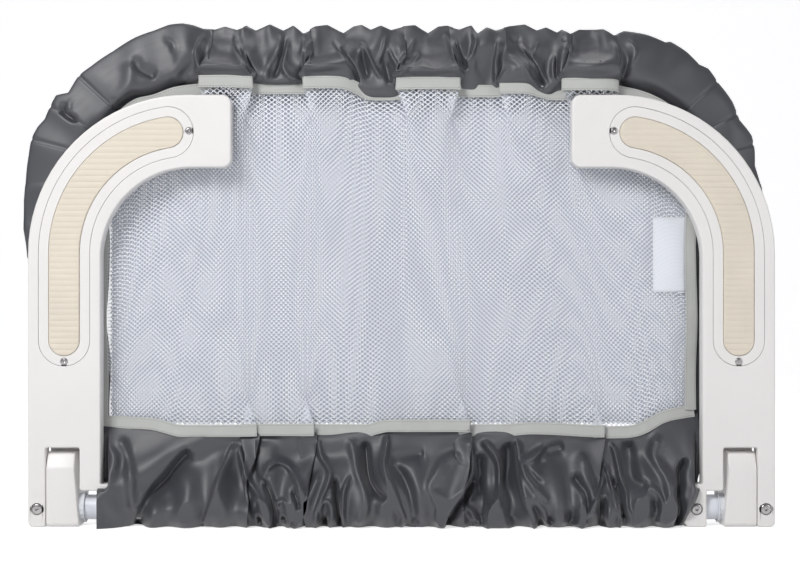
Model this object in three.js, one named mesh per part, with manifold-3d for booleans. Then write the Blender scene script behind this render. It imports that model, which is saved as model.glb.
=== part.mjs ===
// A folding, telescoping bed guard rail in its folded state, in millimetres, +Z up.
// It stands on the feet of its two arms. X runs along the rail and -Y faces the bed.
// The right half is modelled, and the left half is the same half mirrored.
import * as THREE from "three";
import { mergeVertices } from "three/addons/utils/BufferGeometryUtils.js";
import Module from "manifold-3d";

const wasm = await Module();
wasm.setup();

// General clearances and mesh fineness
const GAP = 0.3; // between pieces that only meet
const OVERRUN = 4; // how far a cutting shape runs past what it cuts
const MERGE = 1e-4; // points nearer than this are one point
const CHORD = 0.3; // largest error of a straight step on an arc
const TUBE_SIDES = 16;
const PIN_SIDES = 8;
const HEX_SIDES = 6;
const BEND_STEPS = 8;

// The rail's main sizes
const HALF_WIDTH = 329; // from the middle to an arm's outer edge, folded
const AXLE_Z = 16;
const TOP_TUBE_Z = 423;
const TOP_TUBE_Y = 17; // the top tube lies behind the axle, so that the arms fold flat in front of it
const SIDE_TUBE_INSET = 31; // from an arm's outer edge to the middle of the side tube
const CORNER_RADIUS = 120; // of the upper tube's centreline

// Tubes
const TUBE_RADIUS = 11;
const TUBE_BORE = 10;
const INNER_TUBE_RADIUS = 9.5;
const INNER_TUBE_BORE = 8.3;
const INNER_TUBE_CLEARANCE = 3; // from an inner tube's end to where the upper tube starts to bend
const TUBE_END_X = 3; // open end of each outer tube, from the middle
const COLLAR_RADIUS = 12.1;
const COLLAR_BORE = 9.75;
const COLLAR_LENGTH = 12;
const COLLAR_LIP = 1.6;
const COLLAR_SEAT = 11.3; // radius of the collar's socket over the tube's end

// Arms
const ARM_WIDTH = 64;
const ARM_HEIGHT = 381;
const ARM_DEPTH = 16;
const ARM_INNER_RADIUS = 80;
const ARM_BEND_SWELL = 4; // how much less the outer radius is than the inner one and the width
const ARM_END_RUN = 35; // of the bent end, past the inner radius
const ARM_END_RADIUS = 8;
const ARM_FOOT_RADIUS = 5;
const ARM_EDGE_ROUND = 1.6;
const ARM_FRONT_WALL = 5.6;
const ARM_RIM = 4.5; // width of the rim round the deep pocket
const COVER_RIM = 2; // width of the rim round the back cover
const COVER_THICKNESS = 2.1;
const POCKET_BOTTOM_Z = 78;
const POCKET_CORNER = 3;

// The fork at an arm's foot
const EAR_RADIUS = 16;
const EAR_BORE = 11.3;
const EAR_FRONT_ROUND = 6;
const OUTER_EAR_WIDTH = 15.5;
const OUTER_EAR_WALL = 3.5; // closes the outer end of the axle's bore
const INNER_EAR_WIDTH = 20.2;
const INNER_EAR_ROOT = 3.8; // how far it reaches in under the arm
const INNER_EAR_HEIGHT = 38;
const INNER_EAR_CORNER = 6;
const NOTCH_WIDTH = 29.9;
const NOTCH_TOP_Z = 70;
const NOTCH_CORNER = 2;
const WINDOW_TOP_Z = 32;

// The knuckle that joins the frame to the arm
const KNUCKLE_SIDE_GAP = 0.5;
const KNUCKLE_BOSS_PROUD = 2.7;
const KNUCKLE_BOSS_RADIUS = 15.5;
const KNUCKLE_BORE = 12.6;
const KNUCKLE_SHOULDER_Z = 66;
const KNUCKLE_TOP_Z = 78;
const KNUCKLE_BACK_WALL = 2.7;
const KNUCKLE_BACK_SLOPE_Z = 24;
const KNUCKLE_SOCKET_FRONT_Y = 2.5;
const KNUCKLE_HEEL_Y = 14;
const KNUCKLE_BROW_Y = 7; // how far the rounded brow of its front runs back
const KNUCKLE_BROW_DROP = 14;
const KNUCKLE_ROUNDS = { foot: 5, heel: 10, slope: 8, socket: 3, front: 2, shoulder: 1, brow: 6, cheek: 10 };
const KNUCKLE_EDGE = 1.4;
const SOCKET_FLOOR_Z = 33;
const SOCKET_BORE = 11.3;
const BUSH_BORE = 11.45;
const BUSH_RADIUS = 12.3;
const BUSH_LENGTH = 10;
const BUSH_FLANGE_RADIUS = 13.6;
const BUSH_FLANGE = 0.9;
const KEY_RADIUS = 2.5;
const KEY_REACH = 14; // how far the stop key stands out from the axle's middle
const KEY_ROOT = 10.3;
const KEY_GROOVE_RADIUS = 15;
const KEY_GROOVE_WIDTH = 6;
const ARM_SWING = Math.PI / 2;

// Fasteners
const AXLE_SCREW = {
  head: 4.75,
  headHeight: 2.4,
  recess: 5.3,
  shank: 2.5,
  hole: 2.8,
  length: 26,
  hex: 1.6,
  hexDepth: 1.5,
};
const AXLE_SCREW_OUTER_INSET = 8; // from the arm's outer edge
const AXLE_SCREW_INNER_INSET = 8.8; // from the inner ear's outer face
const GRIP_SCREW = {
  head: 3,
  headHeight: 1.3,
  recess: 3.3,
  shank: 1.4,
  hole: 1.7,
  length: 10,
  hex: 0.9,
  hexDepth: 0.7,
};
const GRIP_SCREW_OFFSET = 18.6; // from the centre of the grip's round end, along the grip
const GRIP_BOSS_RADIUS = 4;
const GRIP_BOSS_BACK_Y = 4.5; // how far the screw boss stops short of the arm's back
const RIVET_Z = 60;
const RIVET = { head: 4.5, headHeight: 1.5, shank: 2.4, hole: 2.7, inside: 6.5 };

// The grip: a frame plate let into the arm, with a ribbed pad in it
const GRIP_BOTTOM_Z = 164.6; // centre of the lower round end
const GRIP_SWEEP = 81.1 * THREE.MathUtils.DEG2RAD;
const GRIP_FRAME_HALF = 22.6;
const GRIP_FRAME_THICKNESS = 2.3;
const GRIP_RECESS_DEPTH = 2.6;
const GRIP_PAD_HALF = 13.7;
const GRIP_PAD_PROUD = 0.9;
const RIB_PITCH = 5.1;
const RIB_GROOVE_WIDTH = 1.5;
const RIB_GROOVE_DEPTH = 1.2;

// The cover: gathered cloth, net panels and binding tape
const CLOTH = 1.1;
const SLEEVE_RADIUS = 15.2; // round a tube, before the folds
const HUG_ANGLE = 100 * THREE.MathUtils.DEG2RAD; // how far round the tube a sleeve reaches on each side
const HUG_STEPS = 6;
const SLEEVE_TOP_REACH = 28; // from the top tube's middle down to the binding
const SLEEVE_SIDE_REACH = 38;
const SLEEVE_MIDDLE_X = 1; // where the left and right covers nearly meet
const SKIRT_TOP_Z = 83;
const SKIRT_END_GAP = 5.1; // from the skirt's foot to the inner ear
const SKIRT_SLANT = 15; // how much further out its upper corner lies
const FRONT_PLY_Y = 6.7;
const BACK_PLY_Y = 12.5;
const FOLD_HEIGHT = 6; // of the ruffles on the top sleeve
const SKIRT_FOLD = 4; // how far the skirt's folds stand out, to the front and the back
const SKIRT_SAG = 0.8; // how far they hang lower
const FOLD_PITCH = 38;
const SKIRT_FOLD_PITCH = 30;
const STEPS_PER_FOLD = 4;
const CORNER_FOLD_SHARE = { least: 0.3, swing: 0.9 }; // of FOLD_HEIGHT, round the corner
const SIDE_FOLD_SHARE = { least: 0.3, swing: 0.7 };
const SIDE_SLEEVE_STEPS = 6;
const WINDOW_CORNER_STEPS = 12;
const CENTRE_SLEEVE_BORE = 12.5;
const CENTRE_OVERLAP = 8; // how far the middle cover stays inside each side's cover
const CENTRE_PLY_Y = 9;
const NET_THICKNESS = 1.1;
const NET_MARGIN = 13;
const NET_CORNER_CLEARANCE = 0.4; // of a cell, kept whole inside the round corner
const NET_CELL_X = 48;
const NET_CELL_Z = 47;
const CENTRE_NET_CELL = 68;
const REAR_NET_CELL = 75;
const NET_STRAND = 7;
const BINDING_WIDTH = 11;
const LABEL = { seam: 37, z: 207, width: 31, height: 66, thickness: 0.5 };

// The snap button that locks each half of the top tube
const SNAP_END = 10; // from the inner tube's end
const SNAP_LAST_HOLE = 32; // from the outer tube's open end to its hole for the drawn-out rail
const SNAP_RADIUS = 3;
const SNAP_HOLE = 3.35;
const SNAP_NOSE = 9.3; // from the tube's middle, pressed in
const SNAP_BASE = 2.5;
const SNAP_FLANGE_RADIUS = 4.2;
const SNAP_FLANGE = 1.2;
const SNAP_SPRING = { thickness: 0.6, width: 7, length: 26 };

// Derived places
const PIVOT = { y: 0, z: AXLE_Z };
const SIDE_TUBE_X = HALF_WIDTH - SIDE_TUBE_INSET;
const INNER_TUBE_HALF = SIDE_TUBE_X - CORNER_RADIUS - INNER_TUBE_CLEARANCE;
const SNAP_X = INNER_TUBE_HALF - SNAP_END;
const TRAVEL = SNAP_X - TUBE_END_X - SNAP_LAST_HOLE; // how far each half slides out
const CENTRE_HALF = TRAVEL + CENTRE_OVERLAP;
const ARM_INNER_X = HALF_WIDTH - ARM_WIDTH;
const ARM_OUTER_RADIUS = ARM_INNER_RADIUS + ARM_WIDTH - ARM_BEND_SWELL;
const ARM_REACH = ARM_WIDTH + ARM_INNER_RADIUS + ARM_END_RUN; // from the arm's outer edge
const ARM_FRONT_Y = -ARM_DEPTH;
const OUTER_EAR_INNER_X = HALF_WIDTH - OUTER_EAR_WIDTH;
const NOTCH_INNER_X = OUTER_EAR_INNER_X - NOTCH_WIDTH;
const KNUCKLE_OUTER_X = OUTER_EAR_INNER_X - KNUCKLE_SIDE_GAP;
const KNUCKLE_INNER_X = NOTCH_INNER_X + KNUCKLE_SIDE_GAP;
const KNUCKLE_BOSS_X = KNUCKLE_INNER_X - KNUCKLE_BOSS_PROUD;
const INNER_EAR_OUTER_X = ARM_INNER_X + INNER_EAR_ROOT;
const INNER_EAR_INNER_X = INNER_EAR_OUTER_X - INNER_EAR_WIDTH;
const AXLE_SCREW_OUTER_X = HALF_WIDTH - AXLE_SCREW_OUTER_INSET;
const AXLE_SCREW_INNER_X = INNER_EAR_OUTER_X - AXLE_SCREW_INNER_INSET;
const SKIRT_END_X = INNER_EAR_INNER_X - SKIRT_END_GAP;
const GRIP_RADIUS = ARM_OUTER_RADIUS - ARM_WIDTH / 2;
const GRIP_CENTRE = { x: HALF_WIDTH - ARM_OUTER_RADIUS, z: ARM_HEIGHT - ARM_OUTER_RADIUS };
const BEND_CENTRE = { x: SIDE_TUBE_X - CORNER_RADIUS, z: TOP_TUBE_Z - CORNER_RADIUS };
const KEY_X = (KNUCKLE_BOSS_X + KNUCKLE_OUTER_X) / 2;

// Solids and meshes

// A closed three.js geometry as a solid that can be joined and cut.
function solid(geometry) {
  const bare = geometry.index ? geometry.toNonIndexed() : geometry.clone();
  bare.deleteAttribute("normal");
  bare.deleteAttribute("uv");
  const merged = mergeVertices(bare, MERGE);
  return new wasm.Manifold(
    new wasm.Mesh({
      numProp: 3,
      vertProperties: merged.attributes.position.array,
      triVerts: new Uint32Array(merged.index.array),
    }),
  );
}

// A solid as a three.js geometry.
function geometryOf(body) {
  const mesh = body.getMesh();
  const places = new Float32Array(mesh.numVert * 3);
  for (let i = 0; i < mesh.numVert; i++) {
    places.set(mesh.vertProperties.subarray(i * mesh.numProp, i * mesh.numProp + 3), i * 3);
  }
  const geometry = new THREE.BufferGeometry();
  geometry.setAttribute("position", new THREE.BufferAttribute(places, 3));
  geometry.setIndex(new THREE.BufferAttribute(mesh.triVerts, 1));
  geometry.computeVertexNormals();
  return geometry;
}

// Steps that keep an arc of this radius and sweep within the chord error.
function arcSteps(radius, sweep) {
  const step = 2 * Math.acos(1 - Math.min(CHORD / radius, 0.5));
  return Math.max(2, Math.ceil(Math.abs(sweep) / step));
}

// Points on an arc, both ends included.
function arc(x, y, radius, from, to) {
  const steps = arcSteps(radius, to - from);
  return Array.from({ length: steps + 1 }, (_, i) => {
    const angle = from + ((to - from) * i) / steps;
    return new THREE.Vector2(x + radius * Math.cos(angle), y + radius * Math.sin(angle));
  });
}

// A closed outline with rounded corners. Each corner is [x, y, radius], in counter-clockwise order.
function rounded(corners) {
  const points = corners.flatMap(([x, y, radius], i) => {
    const corner = new THREE.Vector2(x, y);
    if (!radius) return [corner];
    const last = corners[(i + corners.length - 1) % corners.length];
    const next = corners[(i + 1) % corners.length];
    const back = new THREE.Vector2(last[0], last[1]).sub(corner).normalize();
    const ahead = new THREE.Vector2(next[0], next[1]).sub(corner).normalize();
    const half = Math.acos(THREE.MathUtils.clamp(back.dot(ahead), -1, 1)) / 2;
    const centre = back.clone().add(ahead).normalize().multiplyScalar(radius / Math.sin(half)).add(corner);
    const start = back.clone().multiplyScalar(radius / Math.tan(half)).add(corner).sub(centre);
    const turn = Math.sign(back.cross(ahead)) * -(Math.PI - 2 * half);
    return arc(centre.x, centre.y, radius, start.angle(), start.angle() + turn);
  });
  return new THREE.Shape(points);
}

// An outline in X and Z as a plate from one Y to another, its edges rounded by bevel.
function plate(shape, fromY, toY, bevel = 0) {
  const geometry = new THREE.ExtrudeGeometry(shape, {
    depth: toY - fromY - 2 * bevel,
    bevelEnabled: bevel > 0,
    bevelThickness: bevel,
    bevelSize: bevel,
    bevelOffset: -bevel,
    bevelSegments: 1,
    curveSegments: PIN_SIDES,
  });
  return solid(geometry.rotateX(Math.PI / 2).translate(0, toY - bevel, 0));
}

// An outline in Y and Z as a bar from one X to another.
function bar(shape, fromX, toX, bevel = 0) {
  const geometry = new THREE.ExtrudeGeometry(shape, {
    depth: toX - fromX - 2 * bevel,
    bevelEnabled: bevel > 0,
    bevelThickness: bevel,
    bevelSize: bevel,
    bevelOffset: -bevel,
    bevelSegments: 1,
    curveSegments: PIN_SIDES,
  });
  const axes = new THREE.Matrix4().makeBasis(
    new THREE.Vector3(0, 1, 0),
    new THREE.Vector3(0, 0, 1),
    new THREE.Vector3(1, 0, 0),
  );
  return solid(geometry.applyMatrix4(axes).translate(fromX + bevel, 0, 0));
}

function box(from, to) {
  const size = to.map((value, i) => value - from[i]);
  const middle = to.map((value, i) => (value + from[i]) / 2);
  return solid(new THREE.BoxGeometry(...size).translate(...middle));
}

// Round bars along X, Y and Z.
function rodX(radius, fromX, toX, y, z, sides = TUBE_SIDES) {
  const geometry = new THREE.CylinderGeometry(radius, radius, toX - fromX, sides);
  return solid(geometry.rotateZ(-Math.PI / 2).translate((fromX + toX) / 2, y, z));
}

function rodY(radius, fromY, toY, x, z, sides = PIN_SIDES) {
  const geometry = new THREE.CylinderGeometry(radius, radius, toY - fromY, sides);
  return solid(geometry.translate(x, (fromY + toY) / 2, z));
}

function rodZ(radius, fromZ, toZ, x, y, sides = TUBE_SIDES) {
  const geometry = new THREE.CylinderGeometry(radius, radius, toZ - fromZ, sides);
  return solid(geometry.rotateX(Math.PI / 2).translate(x, y, (fromZ + toZ) / 2));
}

// A closed skin over rings of points, each ring with the same number of points.
function loft(rings) {
  const count = rings[0].length;
  const places = rings.flat().flatMap((p) => [p.x, p.y, p.z]);
  const faces = [];
  for (let r = 0; r + 1 < rings.length; r++) {
    for (let k = 0; k < count; k++) {
      const a = r * count + k;
      const b = r * count + ((k + 1) % count);
      faces.push(a, b, b + count, a, b + count, a + count);
    }
  }
  const caps = (ring) => {
    const origin = ring[0];
    const u = ring[1].clone().sub(origin).normalize();
    const normal = new THREE.Vector3();
    for (let k = 1; k + 1 < count; k++) {
      normal.add(ring[k].clone().sub(origin).cross(ring[k + 1].clone().sub(origin)));
    }
    const v = normal.normalize().clone().cross(u);
    const outline = ring.map((p) => {
      const d = p.clone().sub(origin);
      return new THREE.Vector2(d.dot(u), d.dot(v));
    });
    return THREE.ShapeUtils.triangulateShape(outline, []);
  };
  const end = (rings.length - 1) * count;
  caps(rings[0]).forEach(([a, b, c]) => faces.push(a, c, b));
  caps(rings.at(-1)).forEach(([a, b, c]) => faces.push(end + a, end + b, end + c));
  const geometry = new THREE.BufferGeometry();
  geometry.setAttribute("position", new THREE.Float32BufferAttribute(places, 3));
  geometry.setIndex(faces);
  const body = solid(geometry);
  if (body.volume() > 0) return body;
  geometry.setIndex(faces.map((_, i) => faces[i - (i % 3) + 2 - (i % 3)]));
  return solid(geometry);
}

// Frame tubes

// The centreline of an upper tube, along the top, round the corner and down the side. It is walked in
// equal steps of the bend, with one step for each straight run.
class TubePath extends THREE.Curve {
  constructor(fromX, toZ) {
    super();
    this.fromX = fromX;
    this.toZ = toZ;
    this.steps = BEND_STEPS + 2;
  }
  angleAt(step) {
    return (Math.PI / 2) * (1 - THREE.MathUtils.clamp((step - 1) / BEND_STEPS, 0, 1));
  }
  getPoint(t, target = new THREE.Vector3()) {
    const step = t * this.steps;
    const angle = this.angleAt(step);
    const x = BEND_CENTRE.x + CORNER_RADIUS * Math.cos(angle);
    const z = BEND_CENTRE.z + CORNER_RADIUS * Math.sin(angle);
    const start = Math.max(1 - step, 0);
    const end = Math.max(step - 1 - BEND_STEPS, 0);
    return target.set(
      THREE.MathUtils.lerp(x, this.fromX, start),
      TOP_TUBE_Y,
      THREE.MathUtils.lerp(z, this.toZ, end),
    );
  }
  getPointAt(u, target) {
    return this.getPoint(u, target);
  }
  getTangentAt(u, target = new THREE.Vector3()) {
    const angle = this.angleAt(u * this.steps);
    return target.set(Math.sin(angle), 0, -Math.cos(angle));
  }
}

function bentBar(radius, fromX, toZ) {
  const section = new THREE.Shape(
    Array.from({ length: TUBE_SIDES }, (_, i) => {
      const angle = (2 * Math.PI * i) / TUBE_SIDES;
      return new THREE.Vector2(radius * Math.cos(angle), radius * Math.sin(angle));
    }),
  );
  const path = new TubePath(fromX, toZ);
  return solid(new THREE.ExtrudeGeometry(section, { steps: path.steps, extrudePath: path }));
}

function upperTube() {
  const lowerEnd = SOCKET_FLOOR_Z + GAP;
  let tube = bentBar(TUBE_RADIUS, TUBE_END_X, lowerEnd);
  tube = tube.subtract(bentBar(TUBE_BORE, TUBE_END_X - OVERRUN, lowerEnd - OVERRUN));
  const backY = TOP_TUBE_Y + TUBE_RADIUS + OVERRUN;
  [SNAP_X, SNAP_X - TRAVEL].forEach((x) => {
    tube = tube.subtract(rodY(SNAP_HOLE, TOP_TUBE_Y, backY, x, TOP_TUBE_Z));
  });
  return tube.subtract(rodY(RIVET.hole, TOP_TUBE_Y, backY, SIDE_TUBE_X, RIVET_Z));
}

function innerTube(y, z, snapHoles) {
  let tube = rodX(INNER_TUBE_RADIUS, -INNER_TUBE_HALF, INNER_TUBE_HALF, y, z);
  tube = tube.subtract(rodX(INNER_TUBE_BORE, -INNER_TUBE_HALF - OVERRUN, INNER_TUBE_HALF + OVERRUN, y, z));
  snapHoles.forEach((x) => {
    tube = tube.subtract(rodY(SNAP_HOLE, y, y + INNER_TUBE_RADIUS + OVERRUN, x, z));
  });
  return tube;
}

function axleTube() {
  const outerEnd = HALF_WIDTH - OUTER_EAR_WALL - GAP;
  let tube = rodX(TUBE_RADIUS, TUBE_END_X, outerEnd, PIVOT.y, PIVOT.z);
  tube = tube.subtract(rodX(TUBE_BORE, TUBE_END_X - OVERRUN, outerEnd + OVERRUN, PIVOT.y, PIVOT.z));
  [AXLE_SCREW_OUTER_X, AXLE_SCREW_INNER_X].forEach((x) => {
    tube = tube.subtract(rodY(AXLE_SCREW.hole, -TUBE_RADIUS - OVERRUN, TUBE_RADIUS + OVERRUN, x, PIVOT.z));
  });
  const keyHole = rodY(KEY_RADIUS + GAP, 0, TUBE_RADIUS + OVERRUN, KEY_X, PIVOT.z);
  return tube.subtract(keyHole);
}

// The plastic ring that guides the inner tube at an outer tube's open end.
function collar(y, z) {
  const lipEnd = TUBE_END_X - GAP;
  const ring = rodX(COLLAR_RADIUS, lipEnd - COLLAR_LIP, lipEnd + COLLAR_LENGTH, y, z);
  const seat = rodX(COLLAR_SEAT, lipEnd, lipEnd + COLLAR_LENGTH + OVERRUN, y, z);
  const bore = rodX(COLLAR_BORE, lipEnd - COLLAR_LIP - OVERRUN, lipEnd + OVERRUN, y, z);
  return ring.subtract(seat).subtract(bore);
}

// Arms

// The hooked outline of an arm, drawn in by inset, down to footZ.
function armOutline(inset, footZ, footRadius) {
  const right = HALF_WIDTH - inset;
  const left = ARM_INNER_X + inset;
  const top = ARM_HEIGHT - inset;
  const lip = ARM_HEIGHT - ARM_WIDTH + inset;
  const tip = HALF_WIDTH - ARM_REACH + inset;
  return rounded([
    [left, footZ, footRadius],
    [right, footZ, footRadius],
    [right, top, ARM_OUTER_RADIUS - inset],
    [tip, top, ARM_END_RADIUS - inset / 2],
    [tip, lip, ARM_END_RADIUS - inset / 2],
    [left, lip, ARM_INNER_RADIUS + inset],
  ]);
}

// A band of the given half width along the grip's centreline, with round ends.
function gripBand(half) {
  const { x, z } = GRIP_CENTRE;
  const line = x + GRIP_RADIUS;
  const end = { x: x + GRIP_RADIUS * Math.cos(GRIP_SWEEP), z: z + GRIP_RADIUS * Math.sin(GRIP_SWEEP) };
  return new THREE.Shape([
    ...arc(x, z, GRIP_RADIUS + half, 0, GRIP_SWEEP),
    ...arc(end.x, end.z, half, GRIP_SWEEP, GRIP_SWEEP + Math.PI).slice(1, -1),
    ...arc(x, z, GRIP_RADIUS - half, GRIP_SWEEP, 0),
    ...arc(line, GRIP_BOTTOM_Z, half, Math.PI, 2 * Math.PI),
  ]);
}

// Where the two screws of a grip frame sit.
function gripScrewPlaces() {
  const angle = GRIP_SWEEP + GRIP_SCREW_OFFSET / GRIP_RADIUS;
  return [
    { x: GRIP_CENTRE.x + GRIP_RADIUS, z: GRIP_BOTTOM_Z - GRIP_SCREW_OFFSET },
    { x: GRIP_CENTRE.x + GRIP_RADIUS * Math.cos(angle), z: GRIP_CENTRE.z + GRIP_RADIUS * Math.sin(angle) },
  ];
}

// The outline in Y and Z of the two ears, round behind the axle and flat in front of it.
function earProfile(height) {
  return new THREE.Shape([
    new THREE.Vector2(ARM_FRONT_Y, 0),
    ...arc(PIVOT.y, PIVOT.z, EAR_RADIUS, -Math.PI / 2, Math.PI / 2),
    new THREE.Vector2(PIVOT.y, height),
    new THREE.Vector2(ARM_FRONT_Y, height),
  ]);
}

// An arm before anything is cut from it: the hook, the tab at its foot and the two round ears.
function armBlank() {
  const tab = rounded([
    [INNER_EAR_INNER_X, 0, INNER_EAR_CORNER],
    [ARM_INNER_X + OVERRUN, 0, 0],
    [ARM_INNER_X + OVERRUN, INNER_EAR_HEIGHT, 0],
    [INNER_EAR_INNER_X, INNER_EAR_HEIGHT, INNER_EAR_CORNER],
  ]);
  const ear = earProfile(2 * EAR_RADIUS);
  return plate(armOutline(0, 0, ARM_FOOT_RADIUS), ARM_FRONT_Y, 0, ARM_EDGE_ROUND)
    .add(plate(tab, ARM_FRONT_Y, 0, ARM_EDGE_ROUND))
    .add(bar(ear, INNER_EAR_INNER_X + INNER_EAR_CORNER / 2, INNER_EAR_OUTER_X))
    .add(bar(ear, OUTER_EAR_INNER_X, HALF_WIDTH - ARM_EDGE_ROUND));
}

// The fork's notch for the knuckle, and the opening beside it that shows the axle.
function cutFork(shell) {
  const notch = rounded([
    [NOTCH_INNER_X, -OVERRUN, 0],
    [OUTER_EAR_INNER_X, -OVERRUN, 0],
    [OUTER_EAR_INNER_X, NOTCH_TOP_Z, NOTCH_CORNER],
    [NOTCH_INNER_X, NOTCH_TOP_Z, NOTCH_CORNER],
  ]);
  const opening = rounded([
    [INNER_EAR_OUTER_X, -OVERRUN, 0],
    [NOTCH_INNER_X + OVERRUN, -OVERRUN, 0],
    [NOTCH_INNER_X + OVERRUN, WINDOW_TOP_Z, 0],
    [INNER_EAR_OUTER_X, WINDOW_TOP_Z, NOTCH_CORNER / 2],
  ]);
  const from = ARM_FRONT_Y - OVERRUN;
  const to = EAR_RADIUS + OVERRUN;
  return shell.subtract(plate(notch, from, to)).subtract(plate(opening, from, to));
}

// The axle's blind bore, its two screw holes, and the round edge under the foot's front.
function cutEars(shell) {
  const side = rounded([
    [ARM_FRONT_Y, 0, EAR_FRONT_ROUND],
    [EAR_RADIUS + OVERRUN, 0, 0],
    [EAR_RADIUS + OVERRUN, ARM_HEIGHT, 0],
    [ARM_FRONT_Y, ARM_HEIGHT, 0],
  ]);
  const boreEnd = HALF_WIDTH - OUTER_EAR_WALL;
  let cut = shell.intersect(bar(side, HALF_WIDTH - ARM_REACH, HALF_WIDTH));
  cut = cut.subtract(rodX(EAR_BORE, INNER_EAR_INNER_X - OVERRUN, boreEnd, PIVOT.y, PIVOT.z));
  const seatY = ARM_FRONT_Y + AXLE_SCREW.headHeight + GAP;
  const tipY = ARM_FRONT_Y + AXLE_SCREW.length + 2 * GAP;
  [AXLE_SCREW_OUTER_X, AXLE_SCREW_INNER_X].forEach((x) => {
    cut = cut
      .subtract(rodY(AXLE_SCREW.recess, ARM_FRONT_Y - OVERRUN, seatY, x, PIVOT.z, TUBE_SIDES))
      .subtract(rodY(AXLE_SCREW.hole, ARM_FRONT_Y, tipY, x, PIVOT.z));
  });
  return cut;
}

// The deep pocket behind the front wall, and the seat of the back cover round it.
function cutPocket(shell) {
  const deep = armOutline(ARM_RIM, POCKET_BOTTOM_Z + ARM_RIM, POCKET_CORNER);
  const seat = armOutline(COVER_RIM, POCKET_BOTTOM_Z + COVER_RIM, POCKET_CORNER);
  return shell
    .subtract(plate(deep, ARM_FRONT_Y + ARM_FRONT_WALL, OVERRUN))
    .subtract(plate(seat, -COVER_THICKNESS - GAP, OVERRUN));
}

function armShell() {
  const recessY = ARM_FRONT_Y + GRIP_RECESS_DEPTH;
  const bossFrontY = ARM_FRONT_Y + ARM_FRONT_WALL / 2;
  const holeEndY = ARM_FRONT_Y + GRIP_SCREW.length + GAP;
  let shell = cutPocket(cutEars(cutFork(armBlank())));
  gripScrewPlaces().forEach(({ x, z }) => {
    shell = shell.add(rodY(GRIP_BOSS_RADIUS, bossFrontY, -GRIP_BOSS_BACK_Y, x, z));
  });
  shell = shell.subtract(plate(gripBand(GRIP_FRAME_HALF + GAP), ARM_FRONT_Y - OVERRUN, recessY));
  gripScrewPlaces().forEach(({ x, z }) => {
    shell = shell.subtract(rodY(GRIP_SCREW.hole, ARM_FRONT_Y, holeEndY, x, z));
  });
  return shell;
}

function armBackCover() {
  const inset = COVER_RIM + GAP;
  return plate(armOutline(inset, POCKET_BOTTOM_Z + inset, POCKET_CORNER), -COVER_THICKNESS, 0);
}

function gripFrame() {
  const backY = ARM_FRONT_Y + GRIP_FRAME_THICKNESS;
  let frame = plate(gripBand(GRIP_FRAME_HALF), ARM_FRONT_Y, backY);
  frame = frame.subtract(plate(gripBand(GRIP_PAD_HALF + GAP), ARM_FRONT_Y - OVERRUN, backY + OVERRUN));
  const aheadY = ARM_FRONT_Y - OVERRUN;
  const seatY = ARM_FRONT_Y + GRIP_SCREW.headHeight + GAP;
  gripScrewPlaces().forEach(({ x, z }) => {
    frame = frame
      .subtract(rodY(GRIP_SCREW.hole, aheadY, backY + OVERRUN, x, z))
      .subtract(rodY(GRIP_SCREW.recess, aheadY, seatY, x, z));
  });
  return frame;
}

// The pad, with ribs across it made by cutting level grooves.
function gripPad() {
  const frontY = ARM_FRONT_Y - GRIP_PAD_PROUD;
  let pad = plate(gripBand(GRIP_PAD_HALF), frontY, ARM_FRONT_Y + GRIP_FRAME_THICKNESS);
  const left = GRIP_CENTRE.x - OVERRUN;
  const right = HALF_WIDTH;
  const lowest = GRIP_BOTTOM_Z - GRIP_PAD_HALF;
  for (let z = lowest + RIB_PITCH / 2; z < ARM_HEIGHT; z += RIB_PITCH) {
    const groove = box([left, frontY - OVERRUN, z], [right, frontY + RIB_GROOVE_DEPTH, z + RIB_GROOVE_WIDTH]);
    pad = pad.subtract(groove);
  }
  return pad;
}

// A round-headed screw along Y with a hexagonal socket. Its head's face lies at faceY.
function screw(size, faceY, x, z) {
  const head = rodY(size.head, faceY, faceY + size.headHeight, x, z, PIN_SIDES);
  const shank = rodY(size.shank, faceY + size.headHeight / 2, faceY + size.length, x, z, PIN_SIDES);
  return head.add(shank).subtract(rodY(size.hex, faceY - OVERRUN, faceY + size.hexDepth, x, z, HEX_SIDES));
}

function stopKey() {
  return rodY(KEY_RADIUS, KEY_ROOT, KEY_REACH, KEY_X, PIVOT.z);
}

// The hinge knuckle

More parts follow.
